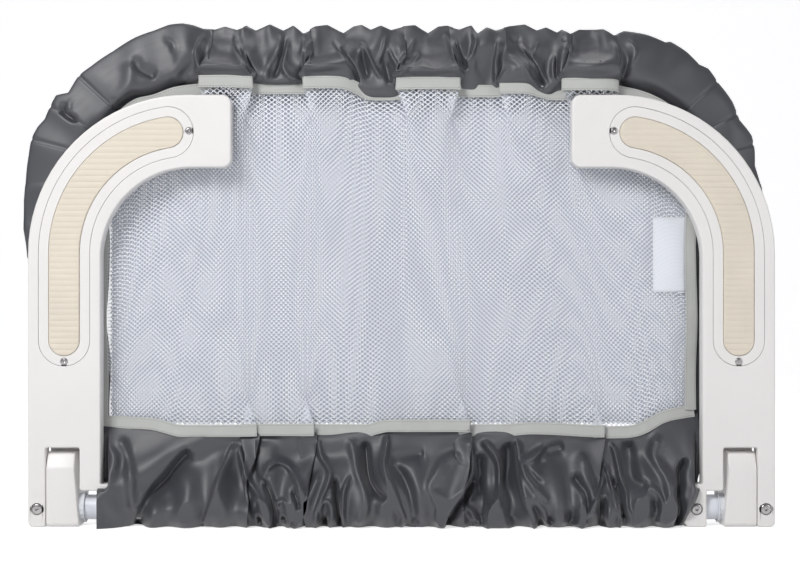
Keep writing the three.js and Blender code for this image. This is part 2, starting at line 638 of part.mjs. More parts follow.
function knuckle() {
  const r = KNUCKLE_ROUNDS;
  const socketBackY = TOP_TUBE_Y + SOCKET_BORE + KNUCKLE_BACK_WALL;
  const frontY = ARM_FRONT_Y;
  const profile = rounded([
    [frontY, 0, r.foot],
    [KNUCKLE_HEEL_Y, 0, r.heel],
    [socketBackY, KNUCKLE_BACK_SLOPE_Z, r.slope],
    [socketBackY, KNUCKLE_TOP_Z, r.socket],
    [KNUCKLE_SOCKET_FRONT_Y, KNUCKLE_TOP_Z, r.front],
    [KNUCKLE_SOCKET_FRONT_Y, KNUCKLE_SHOULDER_Z, r.shoulder],
    [frontY + KNUCKLE_BROW_Y, KNUCKLE_SHOULDER_Z, r.brow],
    [frontY, KNUCKLE_SHOULDER_Z - KNUCKLE_BROW_DROP, r.cheek],
  ]);
  let body = bar(profile, KNUCKLE_INNER_X, KNUCKLE_OUTER_X, KNUCKLE_EDGE);
  const bossJoin = KNUCKLE_INNER_X + 2 * KNUCKLE_EDGE;
  const boreStart = KNUCKLE_BOSS_X - OVERRUN;
  const boreEnd = KNUCKLE_OUTER_X + OVERRUN;
  body = body.add(rodX(KNUCKLE_BOSS_RADIUS, KNUCKLE_BOSS_X, bossJoin, PIVOT.y, PIVOT.z));
  body = body.subtract(rodX(KNUCKLE_BORE, boreStart, boreEnd, PIVOT.y, PIVOT.z));
  body = body.subtract(rodZ(SOCKET_BORE, SOCKET_FLOOR_Z, KNUCKLE_TOP_Z + OVERRUN, SIDE_TUBE_X, TOP_TUBE_Y));
  body = body.subtract(keyGroove());
  const rivetHole = rodY(RIVET.hole, TOP_TUBE_Y, socketBackY + OVERRUN, SIDE_TUBE_X, RIVET_Z);
  return body.subtract(rivetHole);
}

// The quarter groove in the knuckle's bore whose ends stop the key, and with it the arm.
function keyGroove() {
  const slack = (KEY_RADIUS + GAP) / KEY_REACH;
  const sector = new THREE.Shape([
    new THREE.Vector2(PIVOT.y, PIVOT.z),
    ...arc(PIVOT.y, PIVOT.z, KEY_GROOVE_RADIUS, -slack, ARM_SWING + slack),
  ]);
  return bar(sector, KEY_X - KEY_GROOVE_WIDTH / 2, KEY_X + KEY_GROOVE_WIDTH / 2);
}

// A nylon bush with a flange, in one end of the knuckle's bore. side is -1 at the inner end.
function bush(side) {
  const faceX = side < 0 ? KNUCKLE_BOSS_X : KNUCKLE_OUTER_X;
  const inward = faceX - side * BUSH_LENGTH;
  const [from, to] = side < 0 ? [faceX - GAP, inward] : [inward, faceX];
  let body = rodX(BUSH_RADIUS, from, to, PIVOT.y, PIVOT.z);
  if (side < 0) {
    body = body.add(rodX(BUSH_FLANGE_RADIUS, faceX - GAP - BUSH_FLANGE, faceX - GAP, PIVOT.y, PIVOT.z));
  }
  return body.subtract(rodX(BUSH_BORE, from - OVERRUN, to + OVERRUN, PIVOT.y, PIVOT.z));
}

function tubeRivet() {
  const faceY = TOP_TUBE_Y + SOCKET_BORE + KNUCKLE_BACK_WALL + GAP;
  const shankStart = TOP_TUBE_Y + RIVET.inside;
  const shank = rodY(RIVET.shank, shankStart, faceY + RIVET.headHeight / 2, SIDE_TUBE_X, RIVET_Z);
  return shank.add(rodY(RIVET.head, faceY, faceY + RIVET.headHeight, SIDE_TUBE_X, RIVET_Z));
}

// The snap button and its leaf spring

function snapButton() {
  const pin = rodY(SNAP_RADIUS, TOP_TUBE_Y + SNAP_BASE, TOP_TUBE_Y + SNAP_NOSE, SNAP_X, TOP_TUBE_Z);
  const flangeTop = TOP_TUBE_Y + SNAP_BASE + SNAP_FLANGE;
  return pin.add(rodY(SNAP_FLANGE_RADIUS, TOP_TUBE_Y + SNAP_BASE, flangeTop, SNAP_X, TOP_TUBE_Z));
}

function snapSpring() {
  const { thickness, width, length } = SNAP_SPRING;
  const backY = SNAP_BASE - GAP;
  const wallY = -Math.sqrt(INNER_TUBE_BORE ** 2 - (width / 2) ** 2) + 2 * GAP;
  const tip = SNAP_X - length;
  const leaf = new THREE.Shape([
    new THREE.Vector2(tip, (backY + wallY) / 2 - thickness),
    new THREE.Vector2(SNAP_X + SNAP_RADIUS, wallY),
    new THREE.Vector2(SNAP_X + SNAP_RADIUS, wallY + thickness),
    new THREE.Vector2(tip + 2 * thickness, (backY + wallY) / 2),
    new THREE.Vector2(SNAP_X + SNAP_RADIUS, backY - thickness),
    new THREE.Vector2(SNAP_X + SNAP_RADIUS, backY),
    new THREE.Vector2(tip, (backY + wallY) / 2 + thickness),
  ]);
  const geometry = new THREE.ExtrudeGeometry(leaf, { depth: width, bevelEnabled: false });
  return solid(geometry.translate(0, TOP_TUBE_Y, TOP_TUBE_Z - width / 2));
}

// The cloth cover

// One section of a sleeve: round the tube on its outer side, then two plies that run to the binding.
// out is the unit direction away from the net, and reach the plies' length below the tube's middle.
// bulge lifts the section's crown, and spread its front and back.
function sleeveRing({ centre, out, reach, radius, plies, bulge, spread }) {
  const back = new THREE.Vector3(0, 1, 0);
  const at = (outward, y) => out.clone().multiplyScalar(outward).addScaledVector(back, y).add(centre);
  const hug = Array.from({ length: HUG_STEPS + 1 }, (_, i) => {
    const angle = THREE.MathUtils.lerp(-HUG_ANGLE, HUG_ANGLE, i / HUG_STEPS);
    return at((radius + bulge) * Math.cos(angle), (radius + spread) * Math.sin(angle));
  });
  return [at(-reach, plies[0] - centre.y), ...hug, at(-reach, plies[1] - centre.y)];
}

// How far a fold stands out, from 0 in a valley to 1 on a crest, after this many folds.
function foldAt(folds) {
  return (1 - Math.cos(2 * Math.PI * folds)) / 2;
}

// Where the sleeve's sections lie: along the top, round the corner and down the side. Each has its
// centre, the angle that it faces, its reach to the binding, and its fold as a share of FOLD_HEIGHT.
function sleeveStations(hollow) {
  const topLength = BEND_CENTRE.x - SLEEVE_MIDDLE_X;
  const topFolds = Math.round(topLength / FOLD_PITCH);
  const cornerFolds = Math.round((CORNER_RADIUS * Math.PI) / 2 / FOLD_PITCH);
  const topSteps = hollow ? 1 : topFolds * STEPS_PER_FOLD;
  const cornerSteps = hollow ? BEND_STEPS : cornerFolds * STEPS_PER_FOLD;
  const startX = SLEEVE_MIDDLE_X - (hollow ? OVERRUN : 0);
  const endZ = KNUCKLE_TOP_Z + 2 * GAP - (hollow ? OVERRUN : 0);
  const stations = [];
  for (let i = 0; i < topSteps; i++) {
    const share = i / topSteps;
    const centre = new THREE.Vector3(startX + (BEND_CENTRE.x - startX) * share, TOP_TUBE_Y, TOP_TUBE_Z);
    stations.push({ centre, angle: Math.PI / 2, reach: SLEEVE_TOP_REACH, fold: foldAt(share * topFolds) });
  }
  for (let i = 0; i <= cornerSteps; i++) {
    const share = i / cornerSteps;
    const angle = (Math.PI / 2) * (1 - share);
    const centre = new THREE.Vector3(
      BEND_CENTRE.x + CORNER_RADIUS * Math.cos(angle),
      TOP_TUBE_Y,
      BEND_CENTRE.z + CORNER_RADIUS * Math.sin(angle),
    );
    const reach = THREE.MathUtils.lerp(SLEEVE_TOP_REACH, SLEEVE_SIDE_REACH, share);
    const fold = CORNER_FOLD_SHARE.least + CORNER_FOLD_SHARE.swing * foldAt(share * cornerFolds);
    stations.push({ centre, angle, reach, fold });
  }
  for (let i = 1; i <= SIDE_SLEEVE_STEPS; i++) {
    const z = THREE.MathUtils.lerp(BEND_CENTRE.z, endZ, i / SIDE_SLEEVE_STEPS);
    const centre = new THREE.Vector3(SIDE_TUBE_X, TOP_TUBE_Y, z);
    const fold = SIDE_FOLD_SHARE.least + SIDE_FOLD_SHARE.swing * foldAt(i / 2);
    stations.push({ centre, angle: 0, reach: SLEEVE_SIDE_REACH, fold });
  }
  return stations;
}

// The ruffled sleeve round the upper tube, or its hollow where hollow is true.
function sleeve(hollow) {
  const inset = hollow ? CLOTH : 0;
  const rings = sleeveStations(hollow).map(({ centre, angle, reach, fold }) =>
    sleeveRing({
      centre,
      out: new THREE.Vector3(Math.cos(angle), 0, Math.sin(angle)),
      reach: reach + (hollow ? OVERRUN : 0),
      radius: SLEEVE_RADIUS - inset,
      plies: [FRONT_PLY_Y + inset, BACK_PLY_Y - inset],
      bulge: hollow ? 0 : FOLD_HEIGHT * fold,
      spread: 0,
    }),
  );
  return loft(rings);
}

// The gathered skirt round the axle tube, or its hollow.
function skirt(hollow) {
  const inset = hollow ? CLOTH : 0;
  const extra = hollow ? OVERRUN : 0;
  const length = SKIRT_END_X - SLEEVE_MIDDLE_X;
  const folds = Math.round(length / SKIRT_FOLD_PITCH);
  const steps = hollow ? 1 : folds * STEPS_PER_FOLD;
  const rings = [];
  for (let i = 0; i <= steps; i++) {
    const x = THREE.MathUtils.lerp(SLEEVE_MIDDLE_X - extra, SKIRT_END_X + extra, i / steps);
    const fold = hollow ? 0 : foldAt((i / steps) * folds);
    const ring = sleeveRing({
      centre: new THREE.Vector3(x, PIVOT.y, PIVOT.z),
      out: new THREE.Vector3(0, 0, -1),
      reach: SKIRT_TOP_Z - PIVOT.z + extra,
      radius: SLEEVE_RADIUS - inset,
      plies: [FRONT_PLY_Y + inset, BACK_PLY_Y - inset],
      bulge: SKIRT_SAG * fold,
      spread: SKIRT_FOLD * fold,
    });
    [ring[0], ring.at(-1)].forEach((corner) => (corner.x += (SKIRT_SLANT * i) / steps));
    rings.push(ring);
  }
  return loft(rings);
}

// A rectangle's worth of diamond gaps for a net, staggered row by row.
function diamonds(left, right, bottom, top, cellX, cellZ, keep) {
  const columns = Math.round((right - left) / cellX);
  const rows = Math.round((top - bottom) / cellZ);
  const stepX = (right - left) / columns;
  const stepZ = (top - bottom) / rows;
  const holes = [];
  for (let row = 0; row < 2 * rows - 1; row++) {
    const shift = row % 2;
    for (let column = 0; column < columns - shift; column++) {
      const x = left + stepX * (column + 0.5 + shift / 2);
      const z = bottom + stepZ * (0.5 + row / 2);
      if (!keep(x, z)) continue;
      const halfX = (stepX - NET_STRAND) / 2;
      const halfZ = (stepZ - NET_STRAND) / 2;
      holes.push(
        new THREE.Path([
          new THREE.Vector2(x - halfX, z),
          new THREE.Vector2(x, z - halfZ),
          new THREE.Vector2(x + halfX, z),
          new THREE.Vector2(x, z + halfZ),
        ]),
      );
    }
  }
  return holes;
}

// The right edge and the round corner of the window inside the sleeve, drawn in by inset, from the
// bottom round to the top.
function windowEdge(inset) {
  const corner = Array.from({ length: WINDOW_CORNER_STEPS + 1 }, (_, i) => {
    const share = i / WINDOW_CORNER_STEPS;
    const angle = (Math.PI / 2) * share;
    const radius = CORNER_RADIUS - THREE.MathUtils.lerp(SLEEVE_SIDE_REACH, SLEEVE_TOP_REACH, share) - inset;
    return new THREE.Vector2(
      BEND_CENTRE.x + radius * Math.cos(angle),
      BEND_CENTRE.z + radius * Math.sin(angle),
    );
  });
  return [new THREE.Vector2(corner[0].x, SKIRT_TOP_Z + inset), ...corner];
}

// The whole window, closed along its left side at x.
function windowShape(inset, x) {
  const edge = windowEdge(inset);
  return new THREE.Shape([new THREE.Vector2(x, edge[0].y), ...edge, new THREE.Vector2(x, edge.at(-1).y)]);
}

// One layer of the net, with its front at y. The front and rear layers lie in line with the sleeve's plies.
function netPanel(y, cellX, cellZ) {
  const shape = windowShape(GAP, SLEEVE_MIDDLE_X);
  const right = SIDE_TUBE_X - SLEEVE_SIDE_REACH - NET_MARGIN;
  const top = TOP_TUBE_Z - SLEEVE_TOP_REACH - NET_MARGIN;
  const inWindow = (x, z) => {
    const away = Math.hypot(Math.max(x - BEND_CENTRE.x, 0), Math.max(z - BEND_CENTRE.z, 0));
    return away < CORNER_RADIUS - SLEEVE_SIDE_REACH - NET_MARGIN - cellX * NET_CORNER_CLEARANCE;
  };
  const left = SLEEVE_MIDDLE_X + NET_STRAND;
  const inMiddle = (x, z) => x < BEND_CENTRE.x || z < BEND_CENTRE.z || inWindow(x, z);
  shape.holes = diamonds(left, right, SKIRT_TOP_Z + NET_MARGIN, top, cellX, cellZ, inMiddle);
  return plate(shape, y, y + NET_THICKNESS);
}

function binding() {
  const backY = FRONT_PLY_Y - GAP;
  const cut = windowShape(BINDING_WIDTH, SLEEVE_MIDDLE_X - OVERRUN);
  return plate(windowShape(GAP, SLEEVE_MIDDLE_X), backY - CLOTH, backY).subtract(
    plate(cut, backY - CLOTH - OVERRUN, backY + OVERRUN),
  );
}

// The middle of the cover bridges the gap that opens when the rail is drawn out: a sleeve round the
// inner tube above and below, and a net between the two plies of the side covers.
function centreSleeve(y, z) {
  const outer = rodX(CENTRE_SLEEVE_BORE + CLOTH / 2, -CENTRE_HALF, CENTRE_HALF, y, z);
  return outer.subtract(rodX(CENTRE_SLEEVE_BORE, -CENTRE_HALF - OVERRUN, CENTRE_HALF + OVERRUN, y, z));
}

// How far a plane at y lies from a tube's middle line when it meets the centre sleeve's outside.
function rise(y, tubeY) {
  return Math.sqrt((CENTRE_SLEEVE_BORE + CLOTH / 2) ** 2 - (y - tubeY) ** 2) + GAP;
}

function centreNet() {
  const bottom = PIVOT.z + rise(CENTRE_PLY_Y, PIVOT.y);
  const top = TOP_TUBE_Z - rise(CENTRE_PLY_Y + NET_THICKNESS, TOP_TUBE_Y);
  const ply = rounded([
    [-CENTRE_HALF, bottom, 0],
    [CENTRE_HALF, bottom, 0],
    [CENTRE_HALF, top, 0],
    [-CENTRE_HALF, top, 0],
  ]);
  const reach = CENTRE_HALF - NET_STRAND;
  const low = SKIRT_TOP_Z + NET_MARGIN;
  const high = TOP_TUBE_Z - SLEEVE_TOP_REACH - NET_MARGIN;
  ply.holes = diamonds(-reach, reach, low, high, CENTRE_NET_CELL, CENTRE_NET_CELL, () => true);
  return plate(ply, CENTRE_PLY_Y, CENTRE_PLY_Y + NET_THICKNESS);
}

function careLabel() {
  const x = SIDE_TUBE_X - SLEEVE_SIDE_REACH - LABEL.seam;
  const y = FRONT_PLY_Y + NET_THICKNESS + GAP;
  return box([x, y, LABEL.z], [x + LABEL.width, y + LABEL.thickness, LABEL.z + LABEL.height]);
}

// Materials and assembly

function finish(color, roughness, metalness) {
  return new THREE.MeshStandardMaterial({ color, roughness, metalness });
}
const white = finish(0xe9e6e4, 0.42, 0);
const cream = finish(0xe2d8c6, 0.75, 0);
const nylon = finish(0xdfe2e8, 0.5, 0);
const paint = finish(0xdcdee3, 0.35, 0.1);
const steel = finish(0xb9b9ba, 0.28, 1);
const satin = finish(0x66686e, 0.45, 0);
const net = finish(0xe4e7f0, 0.8, 0);
const tape = finish(0xb9bab6, 0.85, 0);
const label = finish(0xf1f3f7, 0.7, 0);

function mesh(name, body, material) {
  const made = new THREE.Mesh(geometryOf(body), material);
  made.name = name;
  return made;
}

// One half of the rail, as the right half. A mirrored group makes it the left one.
function half(side) {
  const group = new THREE.Group();
  const add = (name, body, material) => group.add(mesh(`${side}_${name}`, body, material));
  add("upper_tube", upperTube(), paint);
  add("upper_tube_collar", collar(TOP_TUBE_Y, TOP_TUBE_Z), nylon);
  add("knuckle", knuckle(), white);
  add("knuckle_inner_bush", bush(-1), nylon);
  add("knuckle_outer_bush", bush(1), nylon);
  add("tube_rivet", tubeRivet(), steel);
  add("top_sleeve", sleeve(false).subtract(sleeve(true)), satin);
  add("skirt", skirt(false).subtract(skirt(true)), satin);
  add("net_panel", netPanel(FRONT_PLY_Y, NET_CELL_X, NET_CELL_Z), net);
  add("rear_net_panel", netPanel(BACK_PLY_Y - NET_THICKNESS, REAR_NET_CELL, REAR_NET_CELL), net);
  add("binding", binding(), tape);
  add("arm_shell", armShell(), white);
  add("arm_back_cover", armBackCover(), white);
  add("grip_frame", gripFrame(), white);
  add("grip_pad", gripPad(), cream);
  add("axle_tube", axleTube(), paint);
  add("axle_collar", collar(PIVOT.y, PIVOT.z), nylon);
  add("stop_key", stopKey(), steel);
  const axleFaceY = ARM_FRONT_Y;
  add("axle_screw_outer", screw(AXLE_SCREW, axleFaceY, AXLE_SCREW_OUTER_X, PIVOT.z), steel);
  add("axle_screw_inner", screw(AXLE_SCREW, axleFaceY, AXLE_SCREW_INNER_X, PIVOT.z), steel);
  const [lower, upper] = gripScrewPlaces();
  add("grip_screw_lower", screw(GRIP_SCREW, ARM_FRONT_Y, lower.x, lower.z), steel);
  add("grip_screw_upper", screw(GRIP_SCREW, ARM_FRONT_Y, upper.x, upper.z), steel);
  add("snap_button", snapButton(), steel);
  add("snap_spring", snapSpring(), steel);
  if (side === "left") group.scale.x = -1;
  return group;
}

const rail = new THREE.Group();
rail.add(half("left"), half("right"));
rail.add(mesh("top_inner_tube", innerTube(TOP_TUBE_Y, TOP_TUBE_Z, [-SNAP_X, SNAP_X]), paint));
rail.add(mesh("bottom_inner_tube", innerTube(PIVOT.y, PIVOT.z, []), paint));
rail.add(mesh("top_centre_sleeve", centreSleeve(TOP_TUBE_Y, TOP_TUBE_Z), satin));
rail.add(mesh("bottom_centre_sleeve", centreSleeve(PIVOT.y, PIVOT.z), satin));
rail.add(mesh("centre_net_panel", centreNet(), net));
rail.add(mesh("care_label", careLabel(), label));

// The origin is under the middle of the rail, on the surface that it stands on.
rail.updateMatrixWorld(true);
const bounds = new THREE.Box3().setFromObject(rail, true);
rail.position.y = -(bounds.min.y + bounds.max.y) / 2;
rail.position.z = -bounds.min.z;

export default rail;
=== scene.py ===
"""A folded bed guard rail: fine surfaces, gathered cloth and finishes round its fixed frame."""

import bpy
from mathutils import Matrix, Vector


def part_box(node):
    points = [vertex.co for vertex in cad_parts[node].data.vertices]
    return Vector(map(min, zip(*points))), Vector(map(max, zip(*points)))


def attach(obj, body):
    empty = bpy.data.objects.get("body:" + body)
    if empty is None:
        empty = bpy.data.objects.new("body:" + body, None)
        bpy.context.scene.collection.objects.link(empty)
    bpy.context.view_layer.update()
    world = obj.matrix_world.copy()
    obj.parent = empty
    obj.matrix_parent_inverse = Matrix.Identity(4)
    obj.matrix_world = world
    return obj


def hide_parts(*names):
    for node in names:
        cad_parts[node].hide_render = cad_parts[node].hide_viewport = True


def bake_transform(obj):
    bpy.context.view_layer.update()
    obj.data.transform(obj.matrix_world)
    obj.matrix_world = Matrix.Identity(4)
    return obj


bl_info = {
    "name": "Folding bed guard rail",
    "version": (1, 0, 0),
    "blender": (4, 5, 0),
    "location": "3D View > Sidebar > Guard rail",
    "description": "Builds the arms, tubes, gathered cover, net and stage of a folding bed guard rail",
    "category": "Add Mesh",
}

import math

import bmesh
import bpy
import numpy as np
from bpy.props import FloatProperty, FloatVectorProperty, PointerProperty
from mathutils import Vector
from mathutils.geometry import tessellate_polygon

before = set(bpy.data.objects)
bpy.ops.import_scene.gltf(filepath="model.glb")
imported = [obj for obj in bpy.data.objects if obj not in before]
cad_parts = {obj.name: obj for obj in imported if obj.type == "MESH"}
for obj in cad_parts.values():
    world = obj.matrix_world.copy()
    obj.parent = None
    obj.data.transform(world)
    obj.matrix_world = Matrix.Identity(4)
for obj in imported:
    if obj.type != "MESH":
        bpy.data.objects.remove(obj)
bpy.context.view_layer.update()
MM = 0.001
SIDES = (("left", -1), ("right", 1))


def middle(node):
    """The centre of a node's box."""
    low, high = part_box(node)
    return (low + high) / 2


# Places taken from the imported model
_, AXLE_Y, AXLE_Z = middle("right_axle_tube")
_, TUBE_Y, TUBE_Z = middle("top_inner_tube")
TUBE_RADIUS = 11 * MM
SIDE_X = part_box("right_upper_tube")[1].x - TUBE_RADIUS
BEND = 120 * MM  # radius of the upper tube's bend, at its middle line
BEND_X = SIDE_X - BEND
BEND_Z = TUBE_Z - BEND
ARM_FRONT = AXLE_Y - 16 * MM

# The arm from the front: the edges of its post, the top, lip and tip of its hook, and the radii of its big bends
ARM_IN, ARM_OUT = 265 * MM, 329 * MM
ARM_TOP, ARM_LIP, ARM_TIP = 381 * MM, 317 * MM, 150 * MM
OUTER_BEND, INNER_BEND = 140 * MM, 80 * MM
EAR = 16 * MM  # radius of the round ears behind the arm's foot
FOOT_SCREWS = (260 * MM, 321 * MM)

# The grip: centre, radius and sweep of its middle line's arc, its lower end, and the half widths of its frame, of
# the opening in the frame and of the pad
GRIP_X, GRIP_Z, GRIP_R = 189 * MM, 241 * MM, 108 * MM
GRIP_SWEEP = math.radians(81.1)
GRIP_FOOT = 164.6 * MM
FRAME_HALF, OPENING_HALF, PAD_HALF = 22.6 * MM, 13.7 * MM, 13.5 * MM
SCREW_SHIFT = 18.6 * MM  # from an end of the grip's middle line to its screw

STEP = 3.4 * MM  # spacing of the simulated cloth's grid
SETTLE = 40  # frames that the cloth has to settle
PLAIN = 24 * MM  # reach of the running mean that gives a seam its line without folds
SLEEVE_DEEP, SKIRT_DEEP = 135 * MM, 215 * MM  # length of their sections, from the front seam to the rear one
COVER_RADIUS = 12.2 * MM  # what the cloth lies on: a tube and a thin allowance
TAPE_FORWARD = 3.0 * MM
NET_HEIGHT = 300 * MM
LABEL_X = (225 * MM, 254.5 * MM)
LABEL_Z = (207 * MM, 274 * MM)


# Sizes and colours


def length(name, default, description):
    return FloatProperty(
        name=name, description=description, default=default * MM, min=0.0, unit="LENGTH", precision=4
    )


def colour(name, default, description):
    return FloatVectorProperty(
        name=name, description=description, default=default, size=3, min=0.0, max=1.0, subtype="COLOR"
    )


class ArmSizes(bpy.types.PropertyGroup):
    """Sizes of the two hooked arms."""

    edge_round: length("Edge", 1.7, "Rounding of the arm's outer edges")
    pad_proud: length("Pad", 0.9, "How far the ribbed pad stands out of the arm")
    rib_pitch: length("Rib pitch", 5.1, "Distance between two ribs of the pad")
    rib_depth: length("Rib depth", 0.75, "Depth of the grooves between the ribs")
    seam: length("Seam", 0.35, "Width of the gaps round the pad and its frame")


class CoverSizes(bpy.types.PropertyGroup):
    """Sizes of the gathered cover."""

    puff: length("Puff", 5.5, "How far the cloth swells between two folds")
    skirt_puff: length("Skirt puff", 8.0, "How far the skirt swells between two folds")
    net_cell: length("Net cell", 4.6, "Width of one diamond of the net")
    net_rise: length("Net rise", 4.0, "Height of one diamond of the net")
    tape_width: length("Tape width", 11.0, "Width of the binding tape")
    stitch: length("Stitch", 2.6, "Length of one stitch")
    creases: FloatProperty(name="Creases", description="Depth of the drawn creases", default=1.5, min=0.0, max=3.0)


class Finishes(bpy.types.PropertyGroup):
    """Colours of the finishes."""

    plastic: colour("Plastic", (0.82, 0.80, 0.785), "Warm white moulded plastic")
    pad: colour("Pad", (0.75, 0.68, 0.575), "Cream rubber pad")
    tube: colour("Tube", (0.74, 0.76, 0.82), "White powder coat")
    steel: colour("Steel", (0.42, 0.41, 0.41), "Zinc-plated steel")
    satin: colour("Satin", (0.031, 0.033, 0.041), "Grey satin")
    tape: colour("Tape", (0.52, 0.53, 0.51), "Light grey tape")
    net: colour("Net", (0.87, 0.90, 0.97), "White net")
    # The rear layer is a real second ply of the same white net. Its much darker grey is painted shade for the shade
    # behind the front net.
    back_net: colour("Back net", (0.50, 0.52, 0.59), "The net's rear layer")
    label: colour("Label", (0.92, 0.94, 0.97), "Blank cloth label")


# Meshes

FROM_SIDE = [2, 0, 1]  # turns (y, z, x) to (x, y, z)
FROM_FRONT = [0, 2, 1]  # turns (x, z, y) to (x, y, z)


def grid_faces(rows, columns, wrap=False):
    """Four-sided faces over a grid of rows and columns, closed along its columns if wrap."""
    r, c = np.meshgrid(np.arange(rows - 1), np.arange(columns if wrap else columns - 1), indexing="ij")
    here, below, n = r * columns, (r + 1) * columns, (c + 1) % columns
    return np.stack([here + c, here + n, below + n, below + c], -1).reshape(-1, 4)


def make_object(name, points, faces, material, uv=None, sharp=40.0, outward=False):
    """A mesh object at the origin. uv gives each point its place on the flat cloth or skin."""
    mesh = bpy.data.meshes.new(name)
    mesh.from_pydata(np.asarray(points).reshape(-1, 3).tolist(), [], [list(map(int, f)) for f in faces])
    mesh.validate()
    if uv is not None:
        layer = mesh.uv_layers.new(name="flat")
        corner = np.zeros(len(mesh.loops), np.int32)
        mesh.loops.foreach_get("vertex_index", corner)
        layer.data.foreach_set("uv", np.asarray(uv, np.float32).reshape(-1, 2)[corner].ravel())
    if outward:
        work = bmesh.new()
        work.from_mesh(mesh)
        bmesh.ops.recalc_face_normals(work, faces=work.faces)
        work.to_mesh(mesh)
        work.free()
    mesh.polygons.foreach_set("use_smooth", np.ones(len(mesh.polygons), bool))
    if sharp:
        mesh.set_sharp_from_angle(angle=math.radians(sharp))
    mesh.materials.append(material)
    thing = bpy.data.objects.new(name, mesh)
    bpy.context.scene.collection.objects.link(thing)
    return thing


def face_forward(thing):
    """Turns an open skin so that most of it faces -Y."""
    mesh = thing.data
    normals = np.zeros(len(mesh.polygons) * 3, np.float32)
    mesh.polygons.foreach_get("normal", normals)
    if normals.reshape(-1, 3)[:, 1].sum() > 0:
        mesh.flip_normals()


def place(thing, body, slot, *nodes):
    """Makes a piece ride on its body and stand for its nodes."""
    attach(thing, body)
    if nodes:
        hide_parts(*nodes)


def merged(shells):
    """Several (points, faces) shells as one."""
    points, faces, count = [], [], 0
    for some, quads in shells:
        some = np.asarray(some).reshape(-1, 3)
        faces += [[int(i) + count for i in f] for f in quads]
        points.append(some)
        count += len(some)
    return np.concatenate(points), faces


def turned(points, order, sign=1):
    """Points with their directions in another order, mirrored in x if sign is -1."""
    return np.asarray(points)[:, order] * [sign, 1, 1]


def turns(count):
    """Angles of even steps round a circle."""
    return np.linspace(0, 2 * math.pi, count, endpoint=False)


def arc(x, z, radius, angle):
    """Places on a circle at the given angles."""
    return np.stack([x + radius * np.cos(angle), z + radius * np.sin(angle)], 1)


def rounded(corners, step=0.08):
    """A closed outline. Each corner is (x, z, radius), counter-clockwise, and becomes an arc tangent to its sides."""
    points = []
    for i, (x, z, radius) in enumerate(corners):
        here = np.array([x, z])
        back = np.array(corners[i - 1][:2]) - here
        ahead = np.array(corners[(i + 1) % len(corners)][:2]) - here
        back, ahead = back / np.linalg.norm(back), ahead / np.linalg.norm(ahead)
        half = math.acos(np.clip(back @ ahead, -1, 1)) / 2
        out = (back + ahead) / np.linalg.norm(back + ahead)
        centre = here + out * radius / math.sin(half)
        start = here + back * radius / math.tan(half) - centre
        turn = math.copysign(math.pi - 2 * half, -np.cross(back, ahead))
        angles = math.atan2(start[1], start[0]) + np.linspace(0, turn, max(4, int(abs(turn) / step) + 2))
        points.append(arc(*centre, radius, angles))
    return np.concatenate(points)


def offset(outline, inset):
    """A closed counter-clockwise outline moved inwards by inset, along the mitre of its two sides at each point."""
    ahead = np.roll(outline, -1, 0) - outline
    ahead /= np.maximum(np.linalg.norm(ahead, axis=1), 1e-12)[:, None]
    b = ahead[:, ::-1] * [-1, 1]
    a = np.roll(b, 1, 0)
    return outline + inset * (a + b) / np.maximum(1 + (a * b).sum(1), 0.3)[:, None]


def quarter(radius, steps=4):
    """A quarter round as (inset, depth) pairs, from the face to the wall."""
    angle = np.linspace(0, math.pi / 2, steps + 1)
    return np.stack([radius * (1 - np.sin(angle)), radius * (1 - np.cos(angle))], 1)


def plate(outline, front, back, rounding, pockets=(), rear_pockets=(), rear_rounding=None):
    """A closed plate: the edge's profile is carried along the outline, and each face is filled round its pockets.
    The outline is in two directions and front and back are along the third. A pocket is (outline, depth)."""
    support, lip = 0.5 * MM, 0.3 * MM
    points, faces, count = [], [], 0

    def carry(path, profile):
        nonlocal count
        rows = np.stack([np.column_stack([offset(path, inset), np.full(len(path), at)]) for inset, at in profile])
        start = count
        points.append(rows.reshape(-1, 3))
        faces.extend((grid_faces(len(profile), len(path), True) + start).tolist())
        count += rows.shape[0] * rows.shape[1]
        return start, start + (len(profile) - 1) * len(path)

    def fill(loops):
        every = np.concatenate(points)
        polygons = [[Vector((*every[i, :2], 0)) for i in range(start, start + n)] for start, n in loops]
        index = np.concatenate([np.arange(start, start + n) for start, n in loops])
        faces.extend(index[list(triangle)].tolist() for triangle in tessellate_polygon(polygons))

    front_side = [(rounding + support, front)] + [(i, front + d) for i, d in quarter(rounding)]
    rounding = rounding if rear_rounding is None else rear_rounding
    back_side = [(i, back - d) for i, d in quarter(rounding)[::-1]] + [(rounding + support, back)]
    first, last = carry(outline, front_side + back_side)
    for first_loop, face_at, sign, holes in ((first, front, 1, pockets), (last, back, -1, rear_pockets)):
        loops = [(first_loop, len(outline))]
        for path, deep in holes:
            profile = [(-lip - support, face_at)] + [(-i, face_at + sign * d) for i, d in quarter(lip, 2)]
            profile += [(0, face_at + sign * deep), (support, face_at + sign * deep)]
            top, bottom = carry(path, profile)
            loops.append((top, len(path)))
            fill([(bottom, len(path))])
        fill(loops)
    return np.concatenate(points), faces


def revolve(profile, sides):
    """A closed skin of revolution: (distance, along) pairs turned about the third direction."""
    angle = turns(sides)
    out, along = np.array(profile).T[..., None]
    points = np.stack([out * np.cos(angle), out * np.sin(angle), along + 0 * angle], -1)
    return points.reshape(-1, 3), grid_faces(len(profile), sides, True)


def soft_step(value, low, high):
    """0 below low, 1 above high and a smooth S between."""
    t = np.clip((value - low) / (high - low), 0, 1)
    return t * t * (3 - 2 * t)


def only_above(value, soft):
    """The value where it is above zero and 0 where it is below, with a bend as wide as soft between."""
    return soft * np.log1p(np.exp(np.clip(value / soft, -30, 30)))


